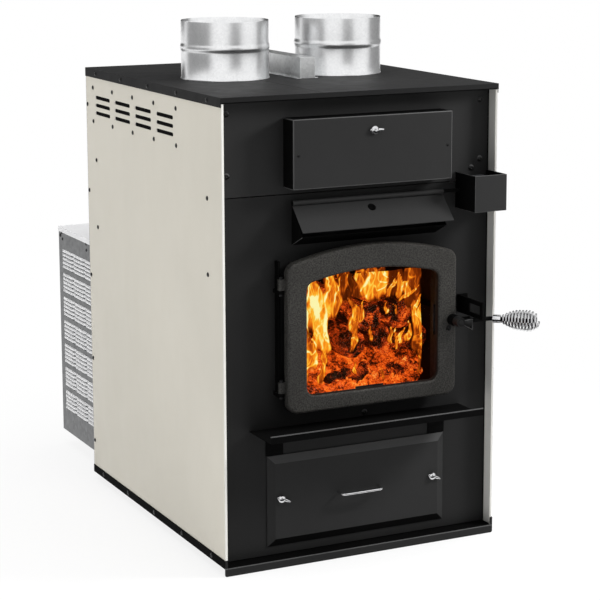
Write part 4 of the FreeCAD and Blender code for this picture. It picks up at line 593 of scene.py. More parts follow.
class Finishes:
    """The furnace's finishes."""

    CREAM = PaintedSheet("cream_enamel", (0.645, 0.613, 0.532), (0.610, 0.580, 0.502), 0.38, 0.35, 0.05)
    # Painted highlight: a paler copy of the cream for hems, folds and recess faces that catch the light.
    CREAM_HIGHLIGHT = PaintedSheet("cream_hem", (0.88, 0.87, 0.83), (0.84, 0.83, 0.79), 0.34, 0.4, 0.04)
    CHARCOAL = PaintedSheet("charcoal_front", (0.026, 0.026, 0.026), (0.023, 0.023, 0.023), 0.5, 0.12, 0.08)
    # Painted shade: a darker copy of the charcoal front paint, for the lower front panel.
    SHADED_FRONT = PaintedSheet("front_sheet", (0.0185, 0.0185, 0.0185), (0.016, 0.016, 0.016), 0.5, 0.12, 0.08)
    BLACK = PaintedSheet("black_trim", (0.019, 0.019, 0.019), (0.016, 0.016, 0.016), 0.5, 0.12, 0.07)
    # Near black: the own colour of the hinge bar, handle bar, boss, catch and shelf, and a painted shade on sides,
    # undersides and parts that sit in shadow.
    BLACK_AND_SHADE = PaintedSheet("deep_black", (0.0035, 0.0035, 0.0035), (0.0025, 0.0025, 0.0025), 0.75, 0.03, 0.06)
    # Painted highlight: a grey laid on eased folds, lips, screw heads and wedge edges where light catches them.
    EDGE_HIGHLIGHT = PaintedSheet("rubbed_edge", (0.085, 0.085, 0.085), (0.065, 0.065, 0.065), 0.4, 0.3, 0.05)
    LID = PaintedSheet("black_lid", (0.018, 0.018, 0.018), (0.015, 0.015, 0.0153), 0.55, 0.06, 0.07)
    ZINC = GalvanisedSheet("galvanised_zinc", (0.97, 0.975, 0.98), (0.60, 0.61, 0.62), 0.29, 260.0, 0.26)
    CHANNEL = GalvanisedSheet("galvanised_channel", (0.94, 0.95, 0.95), (0.70, 0.71, 0.71), 0.34, 150.0, 0.6)
    REAR = GalvanisedSheet("galvanised_rear", (0.33, 0.335, 0.34), (0.23, 0.235, 0.24), 0.40, 70.0)
    CABINET = GalvanisedSheet("galvanised_cabinet", (0.19, 0.193, 0.196), (0.13, 0.132, 0.135), 0.40, 90.0, 0.6)
    # Painted light: a lighter copy of the charcoal for the drawer's upward bevels.
    LIT_BEVEL = PaintedSheet("drawer_bevel", (0.060, 0.060, 0.060), (0.052, 0.052, 0.052), 0.5, 0.12, 0.08)
    # Painted reflection: galvanised hoods and lid shown as a pale diffuse white, standing in for the bright
    # surroundings they reflect.
    LOUVRE_REFLECTION = PaintedSheet("bright_louvre", (0.86, 0.86, 0.865), (0.80, 0.80, 0.81), 0.36, 0.5, 0.05)
    CAST = CastMetal("cast_door")
    CHROME = Polished("chrome_plate")
    STEEL = DarkSteel("blackened_steel")
    PLATE = DarkSteel("rolled_plate", (0.014, 0.012, 0.011), (0.035, 0.028, 0.023), 0.62, 0.3, 0.3)
    SCREW = DarkSteel("screw_black", (0.006, 0.006, 0.006), (0.012, 0.012, 0.012), 0.30, 0.2, 0.08)
    HUB = DarkSteel("spindle_head", (0.007, 0.007, 0.007), (0.015, 0.015, 0.015), 0.6, 0.0, 0.06)
    SOOT = DarkSteel("sooted_plate", (0.004, 0.0035, 0.003), (0.007, 0.006, 0.005), 0.75, 0.0, 0.3)
    MOTOR = DarkSteel("motor_paint", (0.055, 0.056, 0.060), (0.075, 0.076, 0.080), 0.5, 0.1, 0.12)
    GLASS = CeramicGlass("ceramic_pane")
    BRICK = FireBrick("fire_brick")
    ROPE = FibreBoard("gasket_rope", (0.018, 0.017, 0.016), (0.006, 0.006, 0.006))
    BOARD = FibreBoard("baffle_fibre", (0.50, 0.47, 0.43), (0.30, 0.27, 0.24), (60.0, 160.0, 60.0), 0.0008)
    FILTER = FibreBoard("filter_felt", (0.50, 0.52, 0.53), (0.30, 0.32, 0.33), (50.0, 260.0, 50.0), 0.003)
    EMBERS = GlowingEmbers("glowing_embers")
    FLAME = Flame("flame_sheet")


# Mesh building

class Shape:
    """Mesh under construction, gathered from lathes and lofts."""

    def __init__(self) -> None:
        """Start with nothing."""
        self.mesh = bmesh.new()

    def ring(self, points: Iterable[Vector]) -> list[bmesh.types.BMVert]:
        """Add the points of one ring."""
        return [self.mesh.verts.new(point) for point in points]

    def skin(self, rings: Sequence[list], closed: bool = True, slot: int = 0) -> None:
        """Join rings of equal length with quads.

        Args:
            rings: Rings of vertices, in order.
            closed: Whether each ring closes on itself.
            slot: Material number of the faces.
        """
        for first, second in zip(rings, rings[1:]):
            count = len(first)
            for index in range(count if closed else count - 1):
                after = (index + 1) % count
                face = self.mesh.faces.new((first[index], first[after], second[after], second[index]))
                face.material_index = slot

    def cap(self, ring: list, slot: int = 0) -> None:
        """Close a ring with one face."""
        self.mesh.faces.new(ring).material_index = slot

    def lathe(self, profile: Sequence[tuple[float, float]], place: Matrix, segments: int = 48, slot: int = 0,
              closed: bool = False) -> None:
        """Turn radius and height pairs about the Z axis of a place.

        Args:
            profile: Radius and height pairs, radii above zero.
            place: Frame whose Z axis is the turning axis.
            segments: Steps round the axis.
            slot: Material number of the faces.
            closed: Whether the profile's last point joins its first one.
        """
        rings = []
        for radius, height in profile:
            steps = (2 * math.pi * index / segments for index in range(segments))
            rings.append(self.ring(place @ Vector((radius * math.cos(turn), radius * math.sin(turn), height))
                                   for turn in steps))
        self.skin(rings + rings[:1] if closed else rings, True, slot)
        if not closed:
            self.cap(list(reversed(rings[0])), slot)
            self.cap(rings[-1], slot)

    def take(self, part: bmesh.types.BMesh) -> None:
        """Move another mesh's faces into this one.

        Args:
            part: Mesh to take, which is freed.
        """
        spare = bpy.data.meshes.new("spare")
        part.to_mesh(spare)
        part.free()
        self.mesh.from_mesh(spare)
        bpy.data.meshes.remove(spare)

    def handed_over(self, name: str) -> bpy.types.Mesh:
        """Turn the faces outwards and hand the mesh over.

        Args:
            name: Name of the mesh.

        Returns:
            The mesh, ready for an object.
        """
        bmesh.ops.recalc_face_normals(self.mesh, faces=self.mesh.faces)
        data = bpy.data.meshes.new(name)
        self.mesh.to_mesh(data)
        self.mesh.free()
        return data

    def piece(self, name: str, finishes: Sequence[Finish], body: Body, stands_for: Sequence[str] = (),
              sharp: float = SHARP) -> bpy.types.Object:
        """Turn the mesh into a piece that rides on a body.

        Args:
            name: Name of the piece.
            finishes: Finishes by material number.
            body: Body that carries the piece.
            stands_for: Nodes that the piece replaces.
            sharp: Angle in degrees past which an edge stays sharp.

        Returns:
            The finished object.
        """
        return dressed(name, self.handed_over(name), finishes, body, stands_for, sharp)


def dressed(name: str, data: bpy.types.Mesh, finishes: Sequence[Finish], body: Body,
            stands_for: Sequence[str] = (), sharp: float = SHARP) -> bpy.types.Object:
    """Make an object of a mesh, give it its finishes and let it ride.

    Args:
        name: Name of the piece.
        data: Its mesh.
        finishes: Finishes by material number.
        body: Body that carries the piece.
        stands_for: Nodes that the piece replaces.
        sharp: Angle in degrees past which an edge stays sharp.

    Returns:
        The finished object.
    """
    data.name = name
    if data.materials:
        data.materials.clear()
    for finish in finishes:
        data.materials.append(finish.material())
    data.shade_smooth()
    data.set_sharp_from_angle(angle=math.radians(sharp))
    item = bpy.data.objects.new(name, data)
    bpy.context.scene.collection.objects.link(item)
    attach(item, body.value)
    for node in stands_for:
        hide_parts(node)
    LOG.info("%s: %d faces on %s", name, len(data.polygons), body.value)
    return item


def paint(finish: Finish, *nodes: str) -> None:
    """Give solids a finish as they are.

    Args:
        finish: The finish.
        *nodes: The solids.
    """
    for node in nodes:
        data = frame["nodes"][node].data
        data.materials.clear()
        data.materials.append(finish.material())
        LOG.info("%s: %s", node, finish.name)


def body_of(node: str) -> Body:
    """Body that carries a solid."""
    return Body(frame["nodes"][node]["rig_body"])


def merged(node: str) -> bmesh.types.BMesh:
    """Copy a solid's mesh with its loose triangles joined into plain faces.

    Args:
        node: The solid.

    Returns:
        The copy.
    """
    part = bmesh.new()
    part.from_mesh(frame["nodes"][node].data)
    bmesh.ops.remove_doubles(part, verts=part.verts, dist=MERGE)
    bmesh.ops.dissolve_limit(part, angle_limit=math.radians(FLAT_ANGLE), verts=part.verts, edges=part.edges)
    return part


def breadth(face: bmesh.types.BMFace) -> float:
    """Rough width of a long face."""
    return face.calc_area() / max(edge.calc_length() for edge in face.edges)


def is_hard(edge: bmesh.types.BMEdge) -> bool:
    """Whether an edge turns sharply."""
    return len(edge.link_faces) == 2 and edge.calc_face_angle() > math.radians(SHARP)


def eased(node: str, finish: Finish, bevel: float, front: Finish | None = None, fold: Finish | None = None,
          round_off: float = 1.2 * MM) -> bpy.types.Object:
    """Solid with its hard edges eased, in its finishes.

    Args:
        node: Solid to copy and stand for.
        finish: Its finish.
        bevel: Width of the eased edge in metres.
        front: Finish of the faces that look to the front, where it differs.
        fold: Finish of the outer folds, a painted highlight where light catches them.
        round_off: Width of an outer fold in metres.

    Returns:
        The eased piece.
    """
    part = merged(node)
    part.normal_update()
    finishes = [finish, front or finish, fold or finish]
    for face in part.faces:
        face.material_index = 1 if face.normal.y < FRONTWARD else 0
    if fold is not None:
        folds = [edge for edge in part.edges if is_hard(edge) and edge.is_convex
                 and min(breadth(face) for face in edge.link_faces) > 3 * round_off]
        bmesh.ops.bevel(part, geom=folds, offset=round_off, segments=3, profile=0.5, affect="EDGES",
                        clamp_overlap=True, material=2)
    edges = [edge for edge in part.edges if is_hard(edge)]
    bmesh.ops.bevel(part, geom=edges, offset=bevel, segments=2, profile=0.5, affect="EDGES", clamp_overlap=True)
    broad = [face.calc_area() > FLAT_AREA and face.material_index != 2 for face in part.faces]
    data = bpy.data.meshes.new(node + "_eased")
    part.to_mesh(data)
    part.free()
    item = dressed(node + "_eased", data, finishes, body_of(node), [node])
    data.polygons.foreach_set("use_smooth", [not flat for flat in broad])
    return item


def pick_out(item: bpy.types.Object, finish: Finish, test: Callable[[bpy.types.MeshPolygon], bool]) -> None:
    """Give the faces that pass a test another finish.

    Args:
        item: Piece with the faces.
        finish: Their new finish.
        test: Whether a face gets it.
    """
    number = len(item.data.materials)
    item.data.materials.append(finish.material())
    for face in item.data.polygons:
        if test(face):
            face.material_index = number


def edge_band(item: bpy.types.Object, finish: Finish, levels: tuple[float, float], front: float) -> None:
    """Give the front of a sheet a narrow level band in another finish.

    Args:
        item: Piece with the sheet.
        finish: Finish of the band.
        levels: Lower and upper height of the band.
        front: Y that the band's faces lie in front of.
    """
    part = bmesh.new()
    part.from_mesh(item.data)
    for level in levels:
        bmesh.ops.bisect_plane(part, geom=[*part.verts, *part.edges, *part.faces], plane_co=(0.0, 0.0, level),
                               plane_no=(0.0, 0.0, 1.0))
    part.to_mesh(item.data)
    part.free()
    pick_out(item, finish, lambda face: levels[0] < face.center.z < levels[1] and face.center.y < front)


# Repeated trim

class Pattern(Nodes):
    """Geometry node tree that sets one template at many places."""

    def __init__(self, name: str, inputs: dict[str, str]) -> None:
        """Start a tree.

        Args:
            name: Name of the tree.
            inputs: Socket types by label.
        """
        super().__init__(bpy.data.node_groups.new(name, "GeometryNodeTree"))
        sockets = self.tree.interface
        sockets.new_socket("Places", in_out="INPUT", socket_type="NodeSocketGeometry")
        self.labels = {label: sockets.new_socket(label, in_out="INPUT", socket_type=kind).identifier
                       for label, kind in inputs.items()}
        sockets.new_socket("Trim", in_out="OUTPUT", socket_type="NodeSocketGeometry")
        self.start = self.add("NodeGroupInput")
        self.end = self.add("NodeGroupOutput")

    def taken(self, label: str) -> bpy.types.NodeSocket:
        """Socket of a named input."""
        return self.start.outputs[label]

    def close(self, instances: bpy.types.NodeSocket, finish: Finish) -> None:
        """End the tree with real meshes in one finish.

        Args:
            instances: Socket of the copies.
            finish: Finish of the trim.
        """
        real = self.add("GeometryNodeRealizeInstances", {0: instances})
        coated = self.add("GeometryNodeSetMaterial", {"Geometry": real.outputs[0], "Material": finish.material()})
        self.feed(self.end.inputs["Trim"], coated.outputs[0])

    def cast(self, places: bpy.types.Mesh, values: dict[str, object]) -> bpy.types.Mesh:
        """Run the tree on a mesh of places.

        Args:
            places: Mesh whose points or faces carry the trim.
            values: Values by input label.

        Returns:
            The trim as a plain mesh.
        """
        carrier = bpy.data.objects.new(places.name, places)
        bpy.context.scene.collection.objects.link(carrier)
        modifier = carrier.modifiers.new("trim", "NODES")
        modifier.node_group = self.tree
        for label, value in values.items():
            modifier[self.labels[label]] = value
        graph = bpy.context.evaluated_depsgraph_get()
        result = bpy.data.meshes.new_from_object(carrier.evaluated_get(graph))
        carrier.modifiers.remove(modifier)
        bpy.data.objects.remove(carrier)
        return result


def aimed_points(name: str, places: Sequence[tuple[Vector, Vector]]) -> bpy.types.Mesh:
    """Mesh of bare points that each keep a direction.

    Args:
        name: Name of the mesh.
        places: Points and the directions in which their trim faces.

    Returns:
        The mesh, with the directions in its aim attribute.
    """
    data = bpy.data.meshes.new(name)
    data.from_pydata([tuple(point) for point, _ in places], [], [])
    aim = data.attributes.new("aim", "FLOAT_VECTOR", "POINT")
    aim.data.foreach_set("vector", [part for _, way in places for part in way])
    return data


def set_out(name: str, template: bpy.types.Mesh, places: Sequence[tuple[Vector, Vector]], finish: Finish,
            scale: float = 1.0) -> bpy.types.Mesh:
    """Set a template at every place, facing outwards and upright.

    Args:
        name: Name of the trim.
        template: Mesh that faces along its Z axis with Y up.
        places: Points and outward directions.
        finish: Finish of the trim.
        scale: Size of each copy.

    Returns:
        One mesh of all the copies.
    """
    pattern = Pattern(name + "_pattern", {"Template": "NodeSocketObject", "Scale": "NodeSocketFloat"})
    shape = pattern.add("GeometryNodeObjectInfo", {"Object": pattern.taken("Template")})
    aim = pattern.add("GeometryNodeInputNamedAttribute", {"Name": "aim"}, data_type="FLOAT_VECTOR")
    out = pattern.add("FunctionNodeAlignRotationToVector", {"Vector": aim.outputs[0]}, axis="Z")
    upright = pattern.add("FunctionNodeAlignRotationToVector",
                          {"Rotation": out.outputs[0], "Vector": (0.0, 0.0, 1.0)}, axis="Y", pivot_axis="Z")
    copies = pattern.add("GeometryNodeInstanceOnPoints", {
        "Points": pattern.taken("Places"), "Instance": shape.outputs["Geometry"], "Rotation": upright.outputs[0],
        "Scale": pattern.taken("Scale")})
    pattern.close(copies.outputs[0], finish)
    holder = bpy.data.objects.new(name + "_template", template)
    bpy.context.scene.collection.objects.link(holder)
    result = pattern.cast(aimed_points(name, places), {"Template": holder, "Scale": scale})
    bpy.data.objects.remove(holder)
    return result


@dataclass
class PanelScrews:
    """Black pan-head screws of the casing, with a washer edge and a round recess."""

    radius: float = 5.4 * MM
    height: float = 2.2 * MM
    small: float = 0.62
    middling: float = 0.8
    stout: float = 1.3
    sheen: float = 0.22
    light: tuple[float, float] = (0.45, 0.8)
    sides: int = 16
    sharp: float = 40.0
    node: str = "panel_screws"
    cabinet: tuple[tuple[float, float], ...] = ((736.0, 582.0), (731.0, 566.0), (548.0, 582.0), (546.0, 566.0))
    cover: tuple[tuple[float, float], ...] = ((-167.0, 919.5), (201.0, 921.5))

    def template(self) -> bpy.types.Mesh:
        """Turn one head, seated at zero and facing along Z.

        Returns:
            The head's mesh.
        """
        shape = Shape()
        profile = [(self.radius, 0.0), (self.radius, 0.22 * self.height), (0.93 * self.radius, 0.34 * self.height),
                   (0.80 * self.radius, 0.66 * self.height), (0.58 * self.radius, 0.90 * self.height),
                   (0.36 * self.radius, self.height), (0.27 * self.radius, 0.96 * self.height),
                   (0.14 * self.radius, 0.45 * self.height)]
        shape.lathe(profile, Matrix(), self.sides)
        return shape.handed_over("screw_head")

    def places(self) -> list[tuple[Vector, Vector]]:
        """Find where the solids' heads sit.

        Returns:
            Seats and outward directions, in order.
        """
        part = merged(self.node)
        left = set(part.verts)
        found = []
        while left:
            group, edge = set(), {left.pop()}
            while edge:
                point = edge.pop()
                group.add(point)
                edge |= {link.other_vert(point) for link in point.link_edges} - group
            left -= group
            found.append(self.seat([point.co for point in group]))
        part.free()
        return sorted(found, key=lambda place: tuple(place[0]))

    def seat(self, points: list[Vector]) -> tuple[Vector, Vector]:
        """Seat and outward direction of one head.

        Args:
            points: Corners of the head's solid.

        Returns:
            The middle of its broad face, and the way it faces.
        """
        low = Vector(min(point[axis] for point in points) for axis in range(3))
        high = Vector(max(point[axis] for point in points) for axis in range(3))
        size = high - low
        axis = min(range(3), key=lambda index: size[index])
        middle = (low + high) / 2

        def spread(level: float) -> float:
            """Widest reach of the corners at a level."""
            return max(((point - middle).length for point in points if abs(point[axis] - level) < MERGE), default=0.0)

        outwards = -1.0 if spread(high[axis]) > spread(low[axis]) else 1.0
        way = Vector((0.0, 0.0, 0.0))
        way[axis] = outwards
        middle[axis] = low[axis] if outwards > 0 else high[axis]
        return middle, way

    def fit(self, name: str, seats: Sequence[tuple[Vector, Vector]], scale: float = 1.0, body: Body = Body.CASING,
            stands_for: Sequence[str] = ()) -> bpy.types.Object:
        """Set heads of one size on their seats.

        Args:
            name: Name of the group.
            seats: Seats and outward directions.
            scale: Size of the heads.
            body: Body that carries them.
            stands_for: Nodes that they replace.

        Returns:
            The heads as one piece.
        """
        data = set_out(name, self.template(), seats, Finishes.SCREW, scale)
        return dressed(name, data, [Finishes.SCREW], body, stands_for, self.sharp)

    def build(self) -> None:
        """Set a head on every seat."""
        seats = self.places()
        self.fit("screw_heads", [seat for seat in seats if seat[1].y > -FACING], stands_for=[self.node])
        item = self.fit("front_screws", [seat for seat in seats if seat[1].y <= -FACING], self.stout)
        # Painted highlight: the faces of the front heads that turn up and right take the lighter edge finish.
        across, upwards = self.light
        pick_out(item, Finishes.EDGE_HIGHLIGHT,
                 lambda face: across * face.normal.x + upwards * face.normal.z > self.sheen)
        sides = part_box("cabinet_sides")
        places = [(Vector((face, y * MM, z * MM)), Vector((way, 0.0, 0.0)))
                  for face, way in ((sides[0].x, -1.0), (sides[1].x, 1.0)) for y, z in self.cabinet]
        self.fit("cabinet_screws", places, self.middling)
        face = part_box("cleanout_cover")[0].y
        places = [(Vector((x * MM, face, z * MM)), Vector((0.0, -1.0, 0.0))) for x, z in self.cover]
        self.fit("cover_screws", places, self.small, Body.COVER)


# Sub-assemblies

@dataclass
class Casing:
    """Sheet-metal casing: base, side panels, lid, front panels and the channel on top."""

    edge: float = 0.5 * MM
    band: float = 2.4 * MM
    front: float = -411.2 * MM
    lip: float = 19 * MM
    lid_edge: float = 1037 * MM

    def build(self) -> None:
        """Dress every panel."""
        for node in ("left_side_panel", "right_side_panel"):
            # Painted highlight: the front hems, outer folds and inner faces in the front recess take the paler copy of
            # the cream.
            item = eased(node, Finishes.CREAM, self.edge, Finishes.CREAM_HIGHLIGHT, Finishes.CREAM_HIGHLIGHT)
            inwards = -1.0 if node.startswith("right") else 1.0
            pick_out(item, Finishes.CREAM_HIGHLIGHT, lambda face, way=inwards: face.normal.x * way > FACING)
        item = eased("top_panel", Finishes.LID, self.edge)
        # Painted shadow: a near-black band along the lower edge of the lid's front flange.
        edge_band(item, Finishes.BLACK_AND_SHADE, (self.lid_edge - self.edge, self.lid_edge + self.band), self.front)
        # Painted shade on the tray's faces that don't look to the front, and a painted highlight along the top of its
        # lip.
        item = eased("base_tray", Finishes.BLACK_AND_SHADE, self.edge, Finishes.BLACK)
        edge_band(item, Finishes.EDGE_HIGHLIGHT, (self.lip - self.band, self.lip + self.edge), self.front)
        eased("upper_front_panel", Finishes.CHARCOAL, self.edge)
        # Painted shade: the lower front panel takes the darker copy of the front paint.
        eased("lower_front_panel", Finishes.SHADED_FRONT, self.edge)
        eased("wire_channel", Finishes.CHANNEL, self.edge)
        # Painted shade: runners, vent backing and front posts go near black where they sit in shadow.
        paint(Finishes.BLACK_AND_SHADE, "base_runners", "vent_backing_plate", "front_posts")
        paint(Finishes.REAR, "rear_panel")


@dataclass
class DuctCollars:
    """Two spun hot-air collars, each with a rounded bead and a bright turned foot."""

    radius: float = 101.6 * MM
    wall: float = 1.0 * MM
    lid: float = 1050 * MM
    flange: float = 12 * MM
    bead_height: float = 1123 * MM
    bead_half: float = 11.0 * MM
    bead_reach: float = 2.2 * MM
    bead_steps: int = 12
    seam: float = 1.6 * MM
    segments: int = 128

    def bead(self, radius: float) -> list[tuple[float, float]]:
        """Follow the rounded bead of a wall from below.

        Args:
            radius: Radius of the plain wall.

        Returns:
            Radius and height pairs.
        """
        found = []
        for index in range(self.bead_steps + 1):
            along = index / self.bead_steps
            swell = 0.5 - 0.5 * math.cos(2 * math.pi * along)
            found.append((radius + self.bead_reach * swell, self.bead_height + self.bead_half * (2 * along - 1)))
        return found

    def profile(self, foot: float, top: float) -> list[tuple[float, float]]:
        """Closed wall section of a collar.

        Args:
            foot: Lowest height, under the lid.
            top: Highest height.

        Returns:
            Radius and height pairs, up the outside and down the inside.
        """
        radius = self.radius
        rim = radius + self.flange
        outside = [(rim, foot), (rim, foot + self.wall), (radius, foot + self.wall), (radius, self.lid),
                   (radius + self.seam, self.lid + 0.3 * MM), (radius + self.seam, self.lid + 2.6 * MM),
                   (radius, self.lid + 4.2 * MM), *self.bead(radius)]
        outside += [(radius, top - 1.2 * MM), (radius - 0.3 * MM, top - 0.3 * MM), (radius - self.wall / 2, top)]
        inside = [(radius - self.wall, top - 0.5 * MM), *reversed(self.bead(radius - self.wall))]
        return outside + inside + [(radius - self.wall, foot)]

    def build(self) -> None:
        """Turn both collars."""
        for node in ("hot_air_collar_left", "hot_air_collar_right"):
            low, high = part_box(node)
            middle = (low + high) / 2
            shape = Shape()
            place = Matrix.Translation((middle.x, middle.y, 0.0))
            shape.lathe(self.profile(low.z, high.z), place, self.segments, closed=True)
            shape.piece(node + "_spun", [Finishes.ZINC], Body.CASING, [node], sharp=50.0)


@dataclass
class WingLatch:
    """Chrome quarter-turn latch: a domed head, a tapered wing and a short heel."""

    node: str
    body: Body
    turn: float
    dome: float = 10.0 * MM
    rise: float = 9.0 * MM
    wing: float = 22.0 * MM
    heel: float = 12.0 * MM

    def lever(self, shape: Shape, place: Matrix, length: float, wide: float, narrow: float, thick: float) -> None:
        """Loft a rounded lever outwards from the head.

        Args:
            shape: Mesh that takes the lever.
            place: Frame of the head, with Z outwards.
            length: Reach from the axis.
            wide: Width at the root.
            narrow: Width near the tip.
            thick: Thickness at the root.
        """
        rings = []
        stations = [(0.10, 1.0, 1.0), (0.45, 0.75, 0.95), (0.75, 0.35, 0.9), (0.92, 0.18, 0.8), (0.99, 0.0, 0.45)]
        for along, share, swell in stations:
            half = (narrow + (wide - narrow) * share) * swell / 2
            depth = thick * (0.62 + 0.38 * share) * swell / 2
            ring = []
            for index in range(12):
                turn = 2 * math.pi * index / 12
                ring.append(place @ Vector((length * along, half * math.cos(turn),
                                            self.rise * 0.42 + depth * math.sin(turn))))
            rings.append(shape.ring(ring))
        shape.skin(rings)
        shape.cap(list(reversed(rings[0])))
        shape.cap(rings[-1])

    def build(self, seat: Vector, back: float) -> None:
        """Build the latch on its seat.

        Args:
            seat: Point on the panel's face under the head.
            back: Depth of the stem behind the face.
        """
        out = Matrix.Translation(seat) @ Matrix.Rotation(math.radians(90), 4, "X")
        shape = Shape()
        dome = [(0.34 * self.dome, -back), (0.34 * self.dome, 0.0), (self.dome, 0.2 * MM), (self.dome, 1.6 * MM)]
        for index in range(1, 8):
            turn = math.radians(90) * index / 8
            dome.append((self.dome * math.cos(turn), 1.6 * MM + (self.rise - 1.6 * MM) * math.sin(turn)))
        dome += [(0.26 * self.dome, self.rise - 0.1 * MM), (0.20 * self.dome, self.rise - 1.4 * MM)]
        shape.lathe(dome, out, 40)
        wing = out @ Matrix.Rotation(math.radians(self.turn), 4, "Z")
        self.lever(shape, wing, self.wing, 9.0 * MM, 5.0 * MM, 5.0 * MM)
        self.lever(shape, wing @ Matrix.Rotation(math.pi, 4, "Z"), self.heel, 8.0 * MM, 6.0 * MM, 4.5 * MM)
        shape.piece(self.node + "_chrome", [Finishes.CHROME], self.body, [self.node], sharp=40.0)


@dataclass
class CleanOut:
    """Clean-out cover with folded edges and its wing latch."""

    fold: float = 2.0 * MM
    edge: float = 0.5 * MM
    latch: tuple[float, float] = (16.4 * MM, 965 * MM)

    def build(self) -> None:
        """Dress the cover and its latch."""
        # Painted shade on the cover's sides and top, which don't look to the front, and a painted highlight on its
        # outer folds.
        eased("cleanout_cover", Finishes.BLACK_AND_SHADE, self.edge, Finishes.CHARCOAL, Finishes.EDGE_HIGHLIGHT, self.fold)
        paint(Finishes.PLATE, "cleanout_plate", "cleanout_frame")
        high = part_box("cover_latch")[1]
        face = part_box("cleanout_cover")[0].y
        seat = Vector((self.latch[0], face, self.latch[1]))
        WingLatch("cover_latch", Body.COVER_LATCH, 0.0).build(seat, high.y - face)


@dataclass
class AirIntake:
    """Slanted air flap in its cheek box, with the damper motor's housing beside it."""

    edge: float = 0.5 * MM

    def build(self) -> None:
        """Dress the intake."""
        # Painted shade: the cheek box, the sides of the flap and housing and the flap's shaft go near black to sink
        # into their shadows. The outer folds take a painted highlight.
        eased("intake_box", Finishes.BLACK_AND_SHADE, self.edge, None, Finishes.EDGE_HIGHLIGHT)
        eased("intake_flap", Finishes.BLACK_AND_SHADE, self.edge, Finishes.CHARCOAL, Finishes.EDGE_HIGHLIGHT)
        eased("actuator_housing", Finishes.BLACK_AND_SHADE, self.edge, Finishes.CHARCOAL, Finishes.EDGE_HIGHLIGHT)
        paint(Finishes.BLACK_AND_SHADE, "flap_shaft")
        paint(Finishes.MOTOR, "damper_motor")


